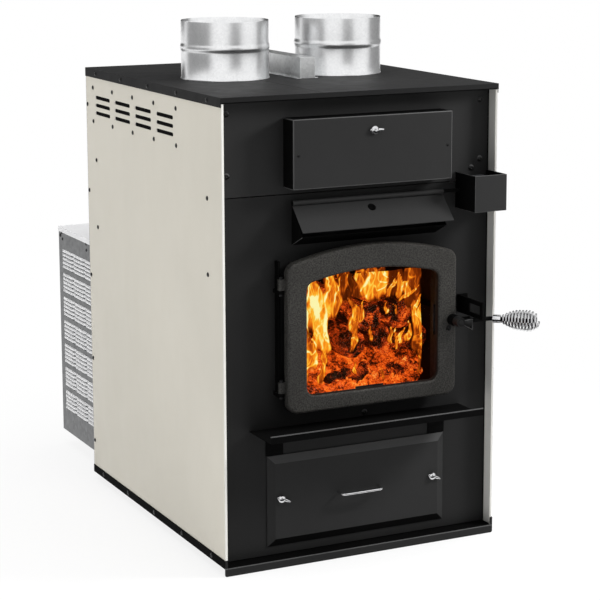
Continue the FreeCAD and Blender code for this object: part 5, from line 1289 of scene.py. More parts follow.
@dataclass
class LoadingDoor:
    """Cast loading door with its pane, gaskets, hinge and latch."""

    edge: float = 1.2 * MM
    catch_edge: float = 0.5 * MM
    wire_growth: float = 0.15 * MM
    bolt: tuple[float, float] = (211 * MM, 503.5 * MM)
    bolt_radius: float = 5.0 * MM
    bolt_height: float = 5.0 * MM
    spindle: Point = (220 * MM, -443 * MM, 523 * MM)
    window: tuple[Point, Point] = ((-152 * MM, -1.0, 380 * MM), (192 * MM, 0.0, 666 * MM))
    blunt: float = 0.55
    head: tuple[tuple[float, float], ...] = (
        (11.5, 0.2), (11.5, 18.5), (10.6, 20.0), (9.0, 20.0), (8.2, 18.6), (6.2, 18.6), (5.4, 20.4), (2.0, 21.0))
    wedge: tuple[tuple[float, float], ...] = ((9.0, 4.5), (31.0, 5.5), (31.0, -20.0), (9.0, -7.0))
    wedge_depths: tuple[float, float] = (5.5, 19.0)
    wedge_edge: float = 1.0 * MM

    def grip(self) -> None:
        """Wind the coil grip in a stouter wire, along the solid's own turns, with a blunter end."""
        part = bmesh.new()
        part.from_mesh(frame["nodes"]["coil_grip"].data)
        bmesh.ops.remove_doubles(part, verts=part.verts, dist=MERGE)
        bmesh.ops.recalc_face_normals(part, faces=part.faces)
        part.normal_update()
        root = sum(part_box("handle_ferrule"), Vector()) / 2
        along = (sum(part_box("coil_grip"), Vector()) / 2 - root).normalized()
        reach = max((point.co - root).dot(along) for point in part.verts)
        for point in part.verts:
            point.co += self.wire_growth * point.normal
            share = (point.co - root).dot(along) / reach
            axis = root + share * reach * along
            point.co = axis + (1.0 + self.blunt * eased_step(0.55, 1.0, share)) * (point.co - axis)
        shape = Shape()
        shape.take(part)
        shape.piece("coil_grip_wire", [Finishes.CHROME], Body.HANDLE, ["coil_grip"], sharp=60.0)

    def hub(self) -> None:
        """Turn the spindle's ringed head and add the wedge that leads to the bar."""
        out = Matrix.Translation(self.spindle) @ Matrix.Rotation(math.radians(90), 4, "X")
        shape = Shape()
        shape.lathe([(radius * MM, height * MM) for radius, height in self.head], out, segments=36)
        wedge = [shape.ring(out @ Vector((x * MM, z * MM, depth * MM)) for x, z in self.wedge)
                 for depth in self.wedge_depths]
        shape.skin(wedge, slot=1)
        shape.cap(list(reversed(wedge[0])), 1)
        shape.cap(wedge[1], 1)
        # Painted highlight: the wedge's eased edges take the lighter edge finish.
        rim = [edge for edge in shape.mesh.edges if all(face.material_index == 1 for face in edge.link_faces)]
        bmesh.ops.bevel(shape.mesh, geom=rim, offset=self.wedge_edge, segments=2, profile=0.5, affect="EDGES",
                        material=2)
        shape.piece("latch_hub", [Finishes.HUB, Finishes.SCREW, Finishes.EDGE_HIGHLIGHT], Body.HANDLE,
                    sharp=40.0)

    def casting(self) -> None:
        """Ease the casting's edges and blacken the reveal of its window."""
        low, high = self.window
        item = eased("door_casting", Finishes.CAST, self.edge)
        pick_out(item, Finishes.SOOT, lambda face: abs(face.normal.y) < FACING
                 and all(low[axis] < face.center[axis] < high[axis] for axis in range(3)))

    def bolts(self) -> None:
        """Set the round stop bolt on the door's frame, below the latch."""
        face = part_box("door_casting")[0].y
        place = Matrix.Translation((self.bolt[0], face, self.bolt[1])) @ Matrix.Rotation(math.radians(90), 4, "X")
        radius, height = self.bolt_radius, self.bolt_height
        profile = [(1.2 * radius, -0.5 * MM), (1.2 * radius, 0.8 * MM), (radius, 1.0 * MM), (radius, 0.75 * height),
                   (0.8 * radius, 0.95 * height), (0.3 * radius, height)]
        shape = Shape()
        shape.lathe(profile, place, 20)
        shape.piece("stop_bolt", [Finishes.SCREW], Body.DOOR, sharp=40.0)

    def build(self) -> None:
        """Dress the door and what carries it."""
        self.casting()
        paint(Finishes.GLASS, "door_glass")
        paint(Finishes.ROPE, "door_gaskets")
        paint(Finishes.STEEL, "glass_clips", "hinge_pins")
        paint(Finishes.BLACK_AND_SHADE, "hinge_bar", "latch_boss", "handle_bar")
        paint(Finishes.SOOT, "throat_ring")
        paint(Finishes.CHROME, "handle_ferrule")
        eased("latch_catch", Finishes.BLACK_AND_SHADE, self.catch_edge)
        self.grip()
        self.hub()
        self.bolts()


@dataclass
class HearthShelf:
    """Shelf under the door with an upturned lip."""

    edge: float = 0.5 * MM
    lip: float = 327 * MM
    band: float = 2.4 * MM
    front: float = -486 * MM

    def build(self) -> None:
        """Dress the shelf."""
        item = eased("hearth_shelf", Finishes.BLACK_AND_SHADE, self.edge)
        # Painted highlight along the top of the shelf's lip.
        edge_band(item, Finishes.EDGE_HIGHLIGHT, (self.lip - self.band, self.lip + self.edge), self.front)


@dataclass
class AshDrawer:
    """Ash drawer: bevelled front, pan, bar handle and two wing latches."""

    turn: float = -22.0
    edge: float = 0.6 * MM
    latch: tuple[float, float] = (192 * MM, 150 * MM)
    slant: tuple[float, float] = (0.3, 0.95)

    def build(self) -> None:
        """Dress the drawer and its latches."""
        item = eased("drawer_front", Finishes.CHARCOAL, self.edge)
        flat, steep = self.slant
        # Painted light on the bevels that face up, painted shade on those that face down.
        pick_out(item, Finishes.LIT_BEVEL, lambda face: flat < face.normal.z < steep)
        pick_out(item, Finishes.BLACK_AND_SHADE, lambda face: -steep < face.normal.z < -flat)
        paint(Finishes.PLATE, "ash_pan", "ash_rails")
        paint(Finishes.CHROME, "drawer_handle")
        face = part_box("drawer_front")[0].y
        for node, body in (("drawer_latch_left", Body.DRAWER_LATCH_LEFT),
                           ("drawer_latch_right", Body.DRAWER_LATCH_RIGHT)):
            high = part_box(node)[1]
            side = -1.0 if body is Body.DRAWER_LATCH_LEFT else 1.0
            seat = Vector((side * self.latch[0], face, self.latch[1]))
            WingLatch(node, body, self.turn).build(seat, high.y - face)


@dataclass
class BlowerCabinet:
    """Galvanised blower cabinet with pressed louvre hoods, and the blower inside."""

    columns: int = 3
    banks: int = 7
    slats: int = 5
    slot_width: float = 80 * MM
    slot_pitch: float = 10.5 * MM
    bank_pitch: float = 64.3 * MM
    first_bank: float = 125 * MM
    column_pitch: float = 86 * MM
    rear_margin: float = 32 * MM
    reach: float = 4.6 * MM
    sheet: float = 0.6 * MM
    overlap: float = 2 * MM
    section: tuple[tuple[float, float], ...] = ((7.6 * MM, 0.0), (6.2 * MM, 0.50), (4.6 * MM, 0.85), (1.9 * MM, 1.0))

    def hood(self) -> bpy.types.Mesh:
        """Press one hood over a slot, facing along Z with its mouth down.

        Returns:
            The hood's mesh.
        """
        shape = Shape()
        rings = []
        half = self.slot_width / 2 + self.overlap
        for along in (-1.0, -0.93, -0.75, 0.75, 0.93, 1.0):
            lift = min(1.0, (1.0 - abs(along)) / 0.2)
            ring = [Vector((half * along, height, 0.2 * MM + self.reach * lift * out))
                    for height, out in self.section]
            rings.append(shape.ring(ring))
        shape.skin(rings, closed=False)
        bmesh.ops.recalc_face_normals(shape.mesh, faces=shape.mesh.faces)
        bmesh.ops.solidify(shape.mesh, geom=shape.mesh.faces[:], thickness=self.sheet)
        return shape.handed_over("louvre_hood")

    def places(self) -> list[tuple[Vector, Vector]]:
        """Find the middles of the slots on both sides.

        Returns:
            Middles and outward directions.
        """
        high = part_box("blower_cabinet")[1]
        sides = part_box("cabinet_sides")
        found = []
        for face, way in ((sides[0].x, -1.0), (sides[1].x, 1.0)):
            for column in range(self.columns):
                far = high.y - self.rear_margin - column * self.column_pitch
                for bank in range(self.banks):
                    for slat in range(self.slats):
                        height = self.first_bank + bank * self.bank_pitch + (slat - 2) * self.slot_pitch
                        found.append((Vector((face, far - self.slot_width / 2, height)), Vector((way, 0.0, 0.0))))
        return found

    def build(self) -> None:
        """Dress the cabinet and set its hoods."""
        paint(Finishes.CABINET, "blower_cabinet", "cabinet_sides")
        # Painted reflection: the lid takes the pale louvre finish in place of a galvanised one.
        paint(Finishes.LOUVRE_REFLECTION, "cabinet_lid")
        paint(Finishes.FILTER, "air_filters")
        paint(Finishes.ZINC, "blower_housing", "blower_wheel")
        paint(Finishes.MOTOR, "blower_motor")
        # Painted reflection: the hoods take the pale louvre finish.
        data = set_out("louvre_hoods", self.hood(), self.places(), Finishes.LOUVRE_REFLECTION)
        dressed("louvre_hoods", data, [Finishes.LOUVRE_REFLECTION], Body.CASING, sharp=40.0)


@dataclass
class Firebox:
    """Welded firebox with bricks, air tubes, baffle, smoke boxes and flue."""

    plates: tuple[str, ...] = ("firebox_shell", "secondary_air_tubes", "smoke_boxes", "exchanger_tubes",
                               "flue_collar", "ash_plug")

    def build(self) -> None:
        """Dress what stands round the fire."""
        paint(Finishes.PLATE, *self.plates)
        paint(Finishes.BRICK, "firebricks")
        paint(Finishes.BOARD, "baffle_boards")


@dataclass(frozen=True)
class Tongue:
    """One tongue of flame: foot and tip as X and Z, and width, in millimetres, with its heat."""

    foot: tuple[float, float]
    tip: tuple[float, float]
    width: float
    heat: float

    def burn(self, x: float, z: float, number: int) -> tuple[float, float]:
        """Cover and heat that the tongue gives a point.

        Args:
            x: X of the point.
            z: Z of the point.
            number: Number of the tongue, for its own sway.

        Returns:
            How much it hides there, and how hot it is.
        """
        rise = (z - self.foot[1]) / (self.tip[1] - self.foot[1])
        if not -0.15 < rise < 1.0:
            return 0.0, 0.0
        sway = 0.42 * self.width * math.sin(2.2 * number + 5.5 * rise) * max(0.0, rise)
        middle = self.foot[0] + (self.tip[0] - self.foot[0]) * rise + sway
        swell = 0.55 + 0.45 * math.sin(math.pi / 2 * min(1.0, max(0.0, rise) / 0.35))
        half = self.width / 2 * swell * (1.0 - max(0.0, rise) ** 2.6) + 0.5
        off = abs(x - middle) / half
        cover = eased_step(1.25, 0.55, off) * eased_step(-0.15, 0.10, rise)
        rim = math.exp(-((off - 0.75) / 0.22) ** 2) * cover
        return cover, self.heat * (0.34 * cover + 0.36 * rim)


def eased_step(start: float, end: float, value: float) -> float:
    """Smooth step from zero at start to one at end."""
    share = min(1.0, max(0.0, (value - start) / (end - start)))
    return share * share * (3.0 - 2.0 * share)


@dataclass
class Fire:
    """Burning logs on an ember bed, with curtains of flame before and behind them."""

    log_radius: float = 35 * MM
    log_step: float = 80 * MM
    bed_right: float = 183 * MM
    bed_flare: float = 0.576
    bed_slope: float = 95 * MM
    bed_drop: float = 54 * MM
    seed: int = 7
    left: float = -130.0
    right: float = 195.0
    bottom: float = 366.0
    top: float = 628.0
    mesh_step: float = 2.6
    chunk_count: int = 11
    chunk_left: float = -30.0
    chunk_right: float = 195.0
    chunk_depth: tuple[float, float] = (-316.0, -296.0)
    chunk_size: tuple[float, float] = (13.0, 22.0)
    coal_density: float = 6500.0
    coal_size: float = 6.5 * MM
    near_depth: float = -322.0
    far_depth: float = -170.0
    far_count: int = 16
    tongues: tuple[Tongue, ...] = (
        Tongue((-85, 515), (-67, 650), 36, 1.38), Tongue((-50, 455), (-53, 548), 30, 1.28),
        Tongue((-63, 505), (-42, 660), 46, 1.22), Tongue((-32, 535), (-18, 650), 36, 0.92),
        Tongue((-85, 425), (-76, 515), 26, 1.25), Tongue((-63, 388), (-58, 475), 15, 0.8),
        Tongue((-66, 470), (-70, 600), 30, 1.32), Tongue((-104, 400), (-100, 640), 44, 1.28),
        Tongue((24, 490), (18, 575), 33, 0.78), Tongue((18, 452), (31, 528), 18, 0.8),
        Tongue((12, 458), (24, 500), 9, 1.0), Tongue((72, 566), (66, 680), 66, 1.0),
        Tongue((50, 572), (38, 640), 26, 1.0),
        Tongue((92, 575), (98, 640), 28, 0.95), Tongue((143, 560), (139, 622), 15, 0.8),
        Tongue((161, 568), (154, 600), 21, 0.85), Tongue((109, 568), (128, 608), 19, 0.85),
        Tongue((166, 585), (190, 660), 40, 0.36), Tongue((183, 492), (191, 574), 15, 0.95),
        Tongue((196, 445), (200, 640), 13, 0.85), Tongue((140, 552), (188, 590), 12, 0.85),
        Tongue((107, 530), (107, 556), 8, 1.1), Tongue((124, 526), (122, 548), 9, 1.1),
        Tongue((133, 445), (130, 495), 11, 1.0), Tongue((146, 455), (143, 492), 11, 1.0),
        Tongue((158, 462), (161, 510), 14, 0.85), Tongue((43, 512), (49, 562), 11, 0.9),
        Tongue((-5, 588), (6, 650), 24, 0.7), Tongue((110, 455), (118, 498), 12, 0.7),
        Tongue((72, 470), (66, 506), 10, 0.75), Tongue((30, 395), (34, 425), 8, 0.9),
        Tongue((96, 380), (92, 408), 7, 0.9),
        Tongue((118, 575), (128, 700), 60, 0.15), Tongue((170, 545), (176, 700), 46, 0.17),
        Tongue((178, 430), (186, 560), 26, 0.38), Tongue((188, 375), (196, 470), 16, 0.5),
        Tongue((4, 570), (8, 690), 46, 0.15))

    def logs(self) -> None:
        """Build the logs with split sides and cracked ends."""
        low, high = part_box("split_logs")
        first = low.x + self.log_radius
        lower = low.z + self.log_radius
        upper = high.z - self.log_radius
        middles = [(first + self.log_step * index, lower) for index in range(3)]
        middles += [(first + self.log_step * (index + 0.5), upper) for index in range(2)]
        glows = (0.85, 1.0, 1.05, 1.15, 1.05)
        shape = Shape()
        finishes = []
        for index, ((x, z), glow) in enumerate(zip(middles, glows)):
            finishes.append(CharredWood(f"burning_log_{index + 1}", glow, (0.31 * index, 0.17 * index, 0.23 * index)))
            self.log(shape, Vector((x, 0.0, z)), (low.y, high.y), index)
        shape.piece("burning_logs", finishes, Body.CASING, ["split_logs"], sharp=60.0)

    def log(self, shape: Shape, middle: Vector, reach: tuple[float, float], number: int) -> None:
        """Loft one rough log along Y.

        Args:
            shape: Mesh that takes the log.
            middle: Axis of the log, with its X and Z.
            reach: Y of the end towards the door and of the far end.
            number: Number of the log, for its own roughness and material.
        """
        sides, runs = 40, 24
        rings = []
        for run in range(runs + 1):
            y = reach[0] + (reach[1] - reach[0]) * run / runs
            ring = []
            for side in range(sides):
                turn = 2 * math.pi * side / sides
                way = Vector((math.cos(turn), 0.0, math.sin(turn)))
                rough = noise.noise(Vector((2.2 * way.x + 3.1 * number, 9.0 * y, 2.2 * way.z)))
                fine = noise.noise(Vector((6.0 * way.x, 30.0 * y + 5.0 * number, 6.0 * way.z)))
                radius = self.log_radius * (0.92 + 0.12 * rough + 0.06 * fine)
                ring.append(Vector((middle.x, y, middle.z)) + min(radius, self.log_radius) * way)
            rings.append(shape.ring(ring))
        shape.skin(rings, slot=number)
        for ring, inwards in ((rings[0], 1.0), (rings[-1], -1.0)):
            self.end(shape, ring, inwards, number)

    def end(self, shape: Shape, ring: list, inwards: float, number: int) -> None:
        """Close a log with a slightly hollow, uneven end.

        Args:
            shape: Mesh that takes the end.
            ring: Last ring of the log's side.
            inwards: Way along Y into the log.
            number: Material number of the log.
        """
        middle = sum((point.co for point in ring), Vector()) / len(ring)
        last = ring
        for share in (0.72, 0.42, 0.16):
            points = []
            for point in ring:
                spot = middle.lerp(point.co, share)
                dip = 3.0 * MM * noise.noise(Vector((90 * spot.x, 4.0 * number, 90 * spot.z)))
                points.append(spot + Vector((0.0, inwards * (2.5 * MM + dip), 0.0)))
            inside = shape.ring(points)
            shape.skin([last, inside], slot=number)
            last = inside
        shape.cap(last, number)

    def bed(self) -> None:
        """Build the heap of embers and scatter coals over it."""
        low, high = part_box("ember_bed")
        across, along = 64, 54
        shape = Shape()
        rows = []
        for row in range(along + 1):
            y = low.y + (high.y - low.y) * row / along
            line = []
            for column in range(across + 1):
                right = min(high.x, self.bed_right + self.bed_flare * (y - low.y))
                x = low.x + (right - low.x) * column / across
                line.append(Vector((x, y, self.heap(x, y, low.y, high.z))))
            rows.append(shape.ring(line))
        shape.skin(rows, closed=False)
        top = bpy.data.meshes.new("coal_places")
        shape.mesh.to_mesh(top)
        coals = self.coals(top)
        rim = [edge for edge in shape.mesh.edges if len(edge.link_faces) == 1]
        walls = bmesh.ops.extrude_edge_only(shape.mesh, edges=rim)["geom"]
        for point in walls:
            if isinstance(point, bmesh.types.BMVert):
                point.co.z = low.z
        foot = [edge for edge in walls if isinstance(edge, bmesh.types.BMEdge) and len(edge.link_faces) == 1]
        bmesh.ops.contextual_create(shape.mesh, geom=foot)
        shape.piece("ember_heap", [Finishes.EMBERS], Body.CASING, ["ember_bed"], sharp=70.0)
        dressed("loose_coals", coals, [Finishes.EMBERS], Body.CASING, sharp=50.0)

    def heap(self, x: float, y: float, front: float, top: float) -> float:
        """Height of the ember heap.

        Args:
            x: X of the place.
            y: Y of the place.
            front: Y of the heap's front edge.
            top: Height of its level part.

        Returns:
            Its height there.
        """
        slope = min(1.0, max(0.0, (y - front) / self.bed_slope))
        base = top - (1.0 - slope) * self.bed_drop
        rough = noise.noise(Vector((34 * x, 34 * y, 0.3))) + 0.6 * noise.noise(Vector((85 * x, 85 * y, 4.1)))
        return base - 4 * MM + 4.0 * MM * rough

    def coals(self, top: bpy.types.Mesh) -> bpy.types.Mesh:
        """Scatter rough coals over the heap.

        Args:
            top: Upper face of the heap.

        Returns:
            The coals as one mesh.
        """
        pattern = Pattern("coals_pattern", {"Density": "NodeSocketFloat", "Size": "NodeSocketFloat",
                                            "Seed": "NodeSocketInt"})
        spread = pattern.add("GeometryNodeDistributePointsOnFaces", {
            "Mesh": pattern.taken("Places"), "Density": pattern.taken("Density"), "Seed": pattern.taken("Seed")})
        lump = pattern.add("GeometryNodeMeshIcoSphere", {"Radius": pattern.taken("Size"), "Subdivisions": 1})
        turn = pattern.add("FunctionNodeRandomValue", {1: (6.28, 6.28, 6.28), "Seed": 3}, data_type="FLOAT_VECTOR")
        size = pattern.add("FunctionNodeRandomValue", {0: (0.5, 0.5, 0.4), 1: (1.7, 1.6, 1.1), "Seed": 5},
                           data_type="FLOAT_VECTOR")
        copies = pattern.add("GeometryNodeInstanceOnPoints", {
            "Points": spread.outputs["Points"], "Instance": lump.outputs["Mesh"], "Rotation": turn.outputs[0],
            "Scale": size.outputs[0]})
        pattern.close(copies.outputs[0], Finishes.EMBERS)
        return pattern.cast(top, {"Density": self.coal_density, "Size": self.coal_size, "Seed": self.seed})

    def chunks(self) -> None:
        """Build the broken pieces of char that lie on the slope before the logs."""
        dice = random.Random(self.seed + 4)
        shape = Shape()
        low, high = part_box("ember_bed")
        for number in range(self.chunk_count):
            x = (self.chunk_left + (self.chunk_right - self.chunk_left) * number / (self.chunk_count - 1)) * MM
            y = dice.uniform(*self.chunk_depth) * MM
            size = dice.uniform(*self.chunk_size) * MM
            height = self.heap(x, y, low.y, high.z) + 0.35 * size
            lump = bmesh.new()
            bmesh.ops.create_icosphere(lump, subdivisions=3, radius=1.0)
            turn = Matrix.Rotation(dice.uniform(0, 3), 3, "Y") @ Matrix.Rotation(dice.uniform(0, 3), 3, "X")
            for point in lump.verts:
                way = point.co.copy()
                block = max(abs(part) for part in way)
                rough = noise.noise(2.4 * way + Vector((5.1 * number, 0.0, 0.0)))
                reach = 0.72 + 0.30 * (1.0 / block - 1.0) + 0.24 * rough
                stretched = Vector((way.x * 1.25, way.y * 0.8, way.z * 0.8)) * reach * size
                point.co = turn @ stretched + Vector((x, y, height))
            shape.take(lump)
        shape.piece("charred_chunks", [CharredWood("charred_chunk", 1.25, (0.4, 0.1, 0.2))], Body.CASING, (),
                    40.0)

    def far_tongues(self) -> tuple[Tongue, ...]:
        """Draw dimmer flames over the logs, further back.

        Returns:
            The flames.
        """
        dice = random.Random(self.seed)
        found = []
        for _ in range(self.far_count):
            foot = (dice.uniform(-170, 205), dice.uniform(520, 560))
            tip = (foot[0] + dice.uniform(-16, 16), foot[1] + dice.uniform(60, 110))
            found.append(Tongue(foot, tip, dice.uniform(26, 50), dice.uniform(0.2, 0.45)))
        return tuple(found)

    def curtain(self, name: str, depth: float, tongues: tuple[Tongue, ...]) -> None:
        """Hang one curtain of flame across the firebox.

        Args:
            name: Name of the curtain.
            depth: Its Y in millimetres.
            tongues: The flames that it shows.
        """
        columns = round((self.right - self.left) / self.mesh_step)
        rows = round((self.top - self.bottom) / self.mesh_step)
        grid = bmesh.new()
        burn = grid.loops.layers.uv.new("burn")
        points, values = [], []
        for row in range(rows + 1):
            for column in range(columns + 1):
                x = self.left + (self.right - self.left) * column / columns
                z = self.bottom + (self.top - self.bottom) * row / rows
                swing = noise.noise(Vector((0.018 * x, 0.012 * z, 0.03 * depth)))
                points.append(grid.verts.new(Vector((x, depth + 12.0 * swing, z)) * MM))
                values.append(self.blaze(x, z, tongues))
        for row in range(rows):
            for column in range(columns):
                first = row * (columns + 1) + column
                corners = (first, first + 1, first + columns + 2, first + columns + 1)
                if max(values[corner][0] for corner in corners) < 0.02:
                    continue
                face = grid.faces.new([points[corner] for corner in corners])
                for loop, corner in zip(face.loops, corners):
                    loop[burn].uv = values[corner]
        bmesh.ops.delete(grid, geom=[point for point in grid.verts if not point.link_faces], context="VERTS")
        data = bpy.data.meshes.new(name)
        grid.to_mesh(data)
        grid.free()
        dressed(name, data, [Finishes.FLAME], Body.CASING, sharp=90.0)

    def blaze(self, x: float, z: float, tongues: tuple[Tongue, ...]) -> tuple[float, float]:
        """Cover and heat of all the flames at a point.

        Args:
            x: X of the point.
            z: Z of the point.
            tongues: The flames.

        Returns:
            Their joint cover and the greatest heat.
        """
        drift = Vector((0.030 * x, 0.018 * z, 0.0))
        x += 13.0 * noise.noise(drift) + 4.0 * noise.noise(3.0 * drift)
        z += 8.0 * noise.noise(drift + Vector((7.3, 1.9, 0.0)))
        clear, heat = 1.0, 0.0
        for number, tongue in enumerate(tongues):
            cover, warmth = tongue.burn(x, z, number)
            clear *= 1.0 - cover
            heat = max(heat, warmth) + 0.12 * min(heat, warmth)
        return 1.0 - clear, heat

    def build(self) -> None:
        """Build the fire."""
        self.logs()
        self.bed()
        self.chunks()
        self.curtain("near_flames", self.near_depth, self.tongues)
        self.curtain("far_flames", self.far_depth, self.far_tongues())


# Studio

@dataclass
class Lamp:
    """A soft lamp: where it hangs, what it faces, its size and its power."""

    name: str
    place: Point
    target: Point
    width: float
    height: float
    power: float
    spared: str = ""

    def spare(self, item: bpy.types.Object) -> None:
        """Keep the lamp off the pale piece nearest to it, which would burn out.

        Args:
            item: The lamp's object.
        """
        others = bpy.data.collections.new(self.name + "_spares")
        others.objects.link(bpy.data.objects[self.spared])
        others.collection_objects[0].light_linking.link_state = "EXCLUDE"
        item.light_linking.receiver_collection = others

    def build(self) -> None:
        """Hang the lamp."""
        data = bpy.data.lights.new(self.name, "AREA")
        data.shape = "RECTANGLE"
        data.size = self.width
        data.size_y = self.height
        data.energy = self.power
        item = bpy.data.objects.new(self.name, data)
        item.location = self.place
        item.rotation_euler = (Vector(self.target) - Vector(self.place)).to_track_quat("-Z", "Y").to_euler()
        item.visible_camera = False
        item.visible_glossy = False
        bpy.context.scene.collection.objects.link(item)
        if self.spared:
            self.spare(item)


@dataclass
class Flag:
    """Curved dark card that only reflections see, between two headings as the camera sees them."""

    name: str
    start: float
    end: float
    tone: float
    distance: float = 4.2
    low: float = -0.2
    high: float = 2.6


@dataclass
class Studio:
    """White studio with a pale floor, soft lamps, dark flags and the camera."""

    heading: float = -26.158
    tilt: float = 10.158
    roll: float = -0.167
    stand: Point = (-1.9759, -4.1161, 1.4732)
    lens: float = 116.52
    sensor: float = 36.0
    rise: float = -0.10
    ambient: float = 0.22
    lamps: tuple[Lamp, ...] = (
        Lamp("overhead", (0.2, 0.0, 3.6), (0.0, 0.1, 0.6), 3.6, 3.6, 120.0),
        Lamp("left_key", (-3.8, 0.3, 2.0), (-0.2, 0.0, 0.6), 2.4, 2.4, 55.0),
        Lamp("right_key", (1.9, -1.35, 1.85), (0.0, -0.4, 0.75), 0.6, 0.6, 72.0, "right_side_panel_eased"),
        Lamp("right_fill", (3.8, 0.9, 0.7), (0.3, 0.0, 0.5), 2.4, 1.2, 34.0),
        Lamp("front_fill", (0.6, -4.2, 2.0), (0.0, -0.3, 0.6), 2.0, 1.6, 6.0))
    flags: tuple[Flag, ...] = (
        Flag("flag_left", -112.0, -36.0, 0.30), Flag("flag_front", 14.0, 42.0, 0.34),
        Flag("flag_right", 92.0, 150.0, 0.28), Flag("flag_sky", 120.0, 235.0, 0.02, 4.4, 1.15, 4.2))
    velvet: tuple[Point, Point] = ((-2.2, -4.3, 0.004), (3.4, -0.56, 0.004))
    velvet_tone: float = 0.01
    floor_reach: float = 14.0
    floor_level: float = -0.0006

    def camera(self) -> None:
        """Set up the camera at the photograph's angle."""
        heading, tilt, roll = (math.radians(angle) for angle in (self.heading, self.tilt, self.roll))
        back = Vector((math.sin(heading) * math.cos(tilt), -math.cos(heading) * math.cos(tilt), math.sin(tilt)))
        right = Vector((math.cos(heading), math.sin(heading), 0.0))
        up = back.cross(right)
        right, up = math.cos(roll) * right + math.sin(roll) * up, math.cos(roll) * up - math.sin(roll) * right
        data = bpy.data.cameras.new("camera")
        data.sensor_width = self.sensor
        data.lens = self.lens
        data.shift_y = self.rise
        item = bpy.data.objects.new("camera", data)
        turned = Matrix((right, up, back)).transposed().to_4x4()
        item.matrix_world = Matrix.Translation(self.stand) @ turned
        bpy.context.scene.collection.objects.link(item)
        bpy.context.scene.camera = item

    def seen(self, nodes: Nodes) -> bpy.types.NodeSocket:
        """One for rays that show a surface: from the camera, a gloss or a pane.

        Args:
            nodes: Tree that takes the nodes.

        Returns:
            The value's socket.
        """
        path = nodes.add("ShaderNodeLightPath")
        pair = nodes.add("ShaderNodeMath", {0: path.outputs["Is Camera Ray"], 1: path.outputs["Is Glossy Ray"]},
                         operation="MAXIMUM")
        return nodes.add("ShaderNodeMath", {0: pair.outputs[0], 1: path.outputs["Is Transmission Ray"]},
                         operation="MAXIMUM").outputs[0]

    def world(self) -> None:
        """White to be seen, and a softer light to shine."""
        scene = bpy.context.scene
        scene.world = bpy.data.worlds.new("studio")
        scene.world.use_nodes = True
        nodes = Nodes(scene.world.node_tree)
        nodes.tree.nodes.clear()
        soft = nodes.add("ShaderNodeBackground", {"Color": (1.0, 1.0, 1.0), "Strength": self.ambient})
        white = nodes.add("ShaderNodeBackground", {"Color": (1.0, 1.0, 1.0), "Strength": 1.0})
        both = nodes.add("ShaderNodeMixShader", {0: self.seen(nodes), 1: soft.outputs[0], 2: white.outputs[0]})
        nodes.add("ShaderNodeOutputWorld", {"Surface": both.outputs[0]})
        scene.view_settings.view_transform = "Standard"

    def floor(self) -> None:
        """Pale floor that keeps the shadow and fades to white."""
        data = bpy.data.meshes.new("floor")
        corners = [(x * self.floor_reach, y * self.floor_reach, self.floor_level)
                   for x, y in ((-1, -1), (1, -1), (1, 1), (-1, 1))]
        data.from_pydata(corners, [], [(0, 1, 2, 3)])
        graph = Graph("pale_floor")
        distance = graph.add("ShaderNodeVectorMath", {0: graph.place}, operation="LENGTH").outputs["Value"]
        fade = graph.math("MULTIPLY", graph.span(distance, 0.5, 1.5, 0.82, 1.0), self.seen(graph))
        grain = graph.span(graph.noise(60.0, 3.0), 0.3, 0.7, 0.90, 0.93)
        colour = graph.add("ShaderNodeCombineColor", {0: grain, 1: grain, 2: grain}).outputs[0]
        matt = graph.add("ShaderNodeBsdfDiffuse", {"Color": colour})
        white = graph.add("ShaderNodeEmission", {"Color": (1.0, 1.0, 1.0), "Strength": 1.0})
        both = graph.add("ShaderNodeMixShader", {0: fade, 1: matt.outputs[0], 2: white.outputs[0]})
        graph.feed(graph.output.inputs["Surface"], both.outputs[0])
        data.materials.append(graph.material)
        item = bpy.data.objects.new("floor", data)
        bpy.context.scene.collection.objects.link(item)

    def card(self, name: str, points: list[Point], faces: list[tuple[int, ...]], tone: float) -> None:
        """Put up a dark card that only reflections meet.

        Args:
            name: Name of the card.
            points: Its corners.
            faces: Its faces by corner number.
            tone: Its grey.
        """
        data = bpy.data.meshes.new(name)
        data.from_pydata(points, [], faces)
        graph = Graph(name)
        shade = graph.add("ShaderNodeEmission", {"Color": (tone, tone, tone), "Strength": 1.0})
        graph.feed(graph.output.inputs["Surface"], shade.outputs[0])
        data.materials.append(graph.material)
        item = bpy.data.objects.new(name, data)
        item.visible_camera = False
        item.visible_diffuse = False
        item.visible_transmission = False
        item.visible_volume_scatter = False
        item.visible_shadow = False
        bpy.context.scene.collection.objects.link(item)

    def flag(self, flag: Flag) -> None:
        """Stand one curved card on its arc.

        Args:
            flag: The card.
        """
        toward = math.degrees(math.atan2(self.stand[1], self.stand[0]))
        steps = 24
        points, faces = [], []
        for index in range(steps + 1):
            turn = math.radians(toward + flag.start + (flag.end - flag.start) * index / steps)
            for height in (flag.low, flag.high):
                points.append((flag.distance * math.cos(turn), flag.distance * math.sin(turn), height))
        for index in range(steps):
            faces.append((2 * index, 2 * index + 2, 2 * index + 3, 2 * index + 1))
        self.card(flag.name, points, faces, flag.tone)

    def cloth(self) -> None:
        """Lay dark velvet on the floor before the front, for its reflections alone."""
        low, high = self.velvet
        corners = [(low[0], low[1], low[2]), (high[0], low[1], low[2]), (high[0], high[1], low[2]),
                   (low[0], high[1], low[2])]
        self.card("velvet", corners, [(0, 1, 2, 3)], self.velvet_tone)

    def build(self) -> None:
        """Set the whole studio up."""
        self.world()
        self.floor()
        for flag in self.flags:
            self.flag(flag)
        self.cloth()
        for lamp in self.lamps:
            lamp.build()
        self.camera()
        LOG.info("studio: %d lamps, %d flags", len(self.lamps), len(self.flags))


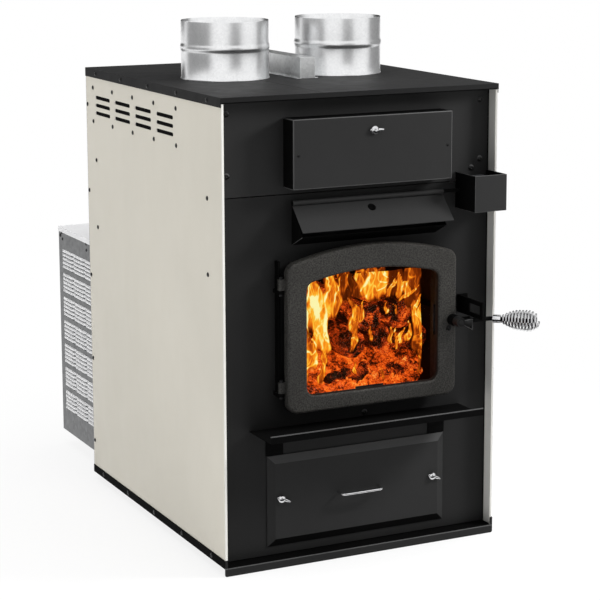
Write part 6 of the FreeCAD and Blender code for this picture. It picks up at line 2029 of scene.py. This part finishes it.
def main() -> None:
    """Dress the furnace and set up its studio."""
    logging.basicConfig(level=logging.INFO, format="%(name)s: %(message)s")
    for assembly in (Casing(), DuctCollars(), PanelScrews(), CleanOut(), AirIntake(), LoadingDoor(), HearthShelf(),
                     AshDrawer(), BlowerCabinet(), Firebox(), Fire()):
        assembly.build()
        LOG.info("%s done", type(assembly).__name__)
    Studio().build()


if __name__ == "__main__":
    main()
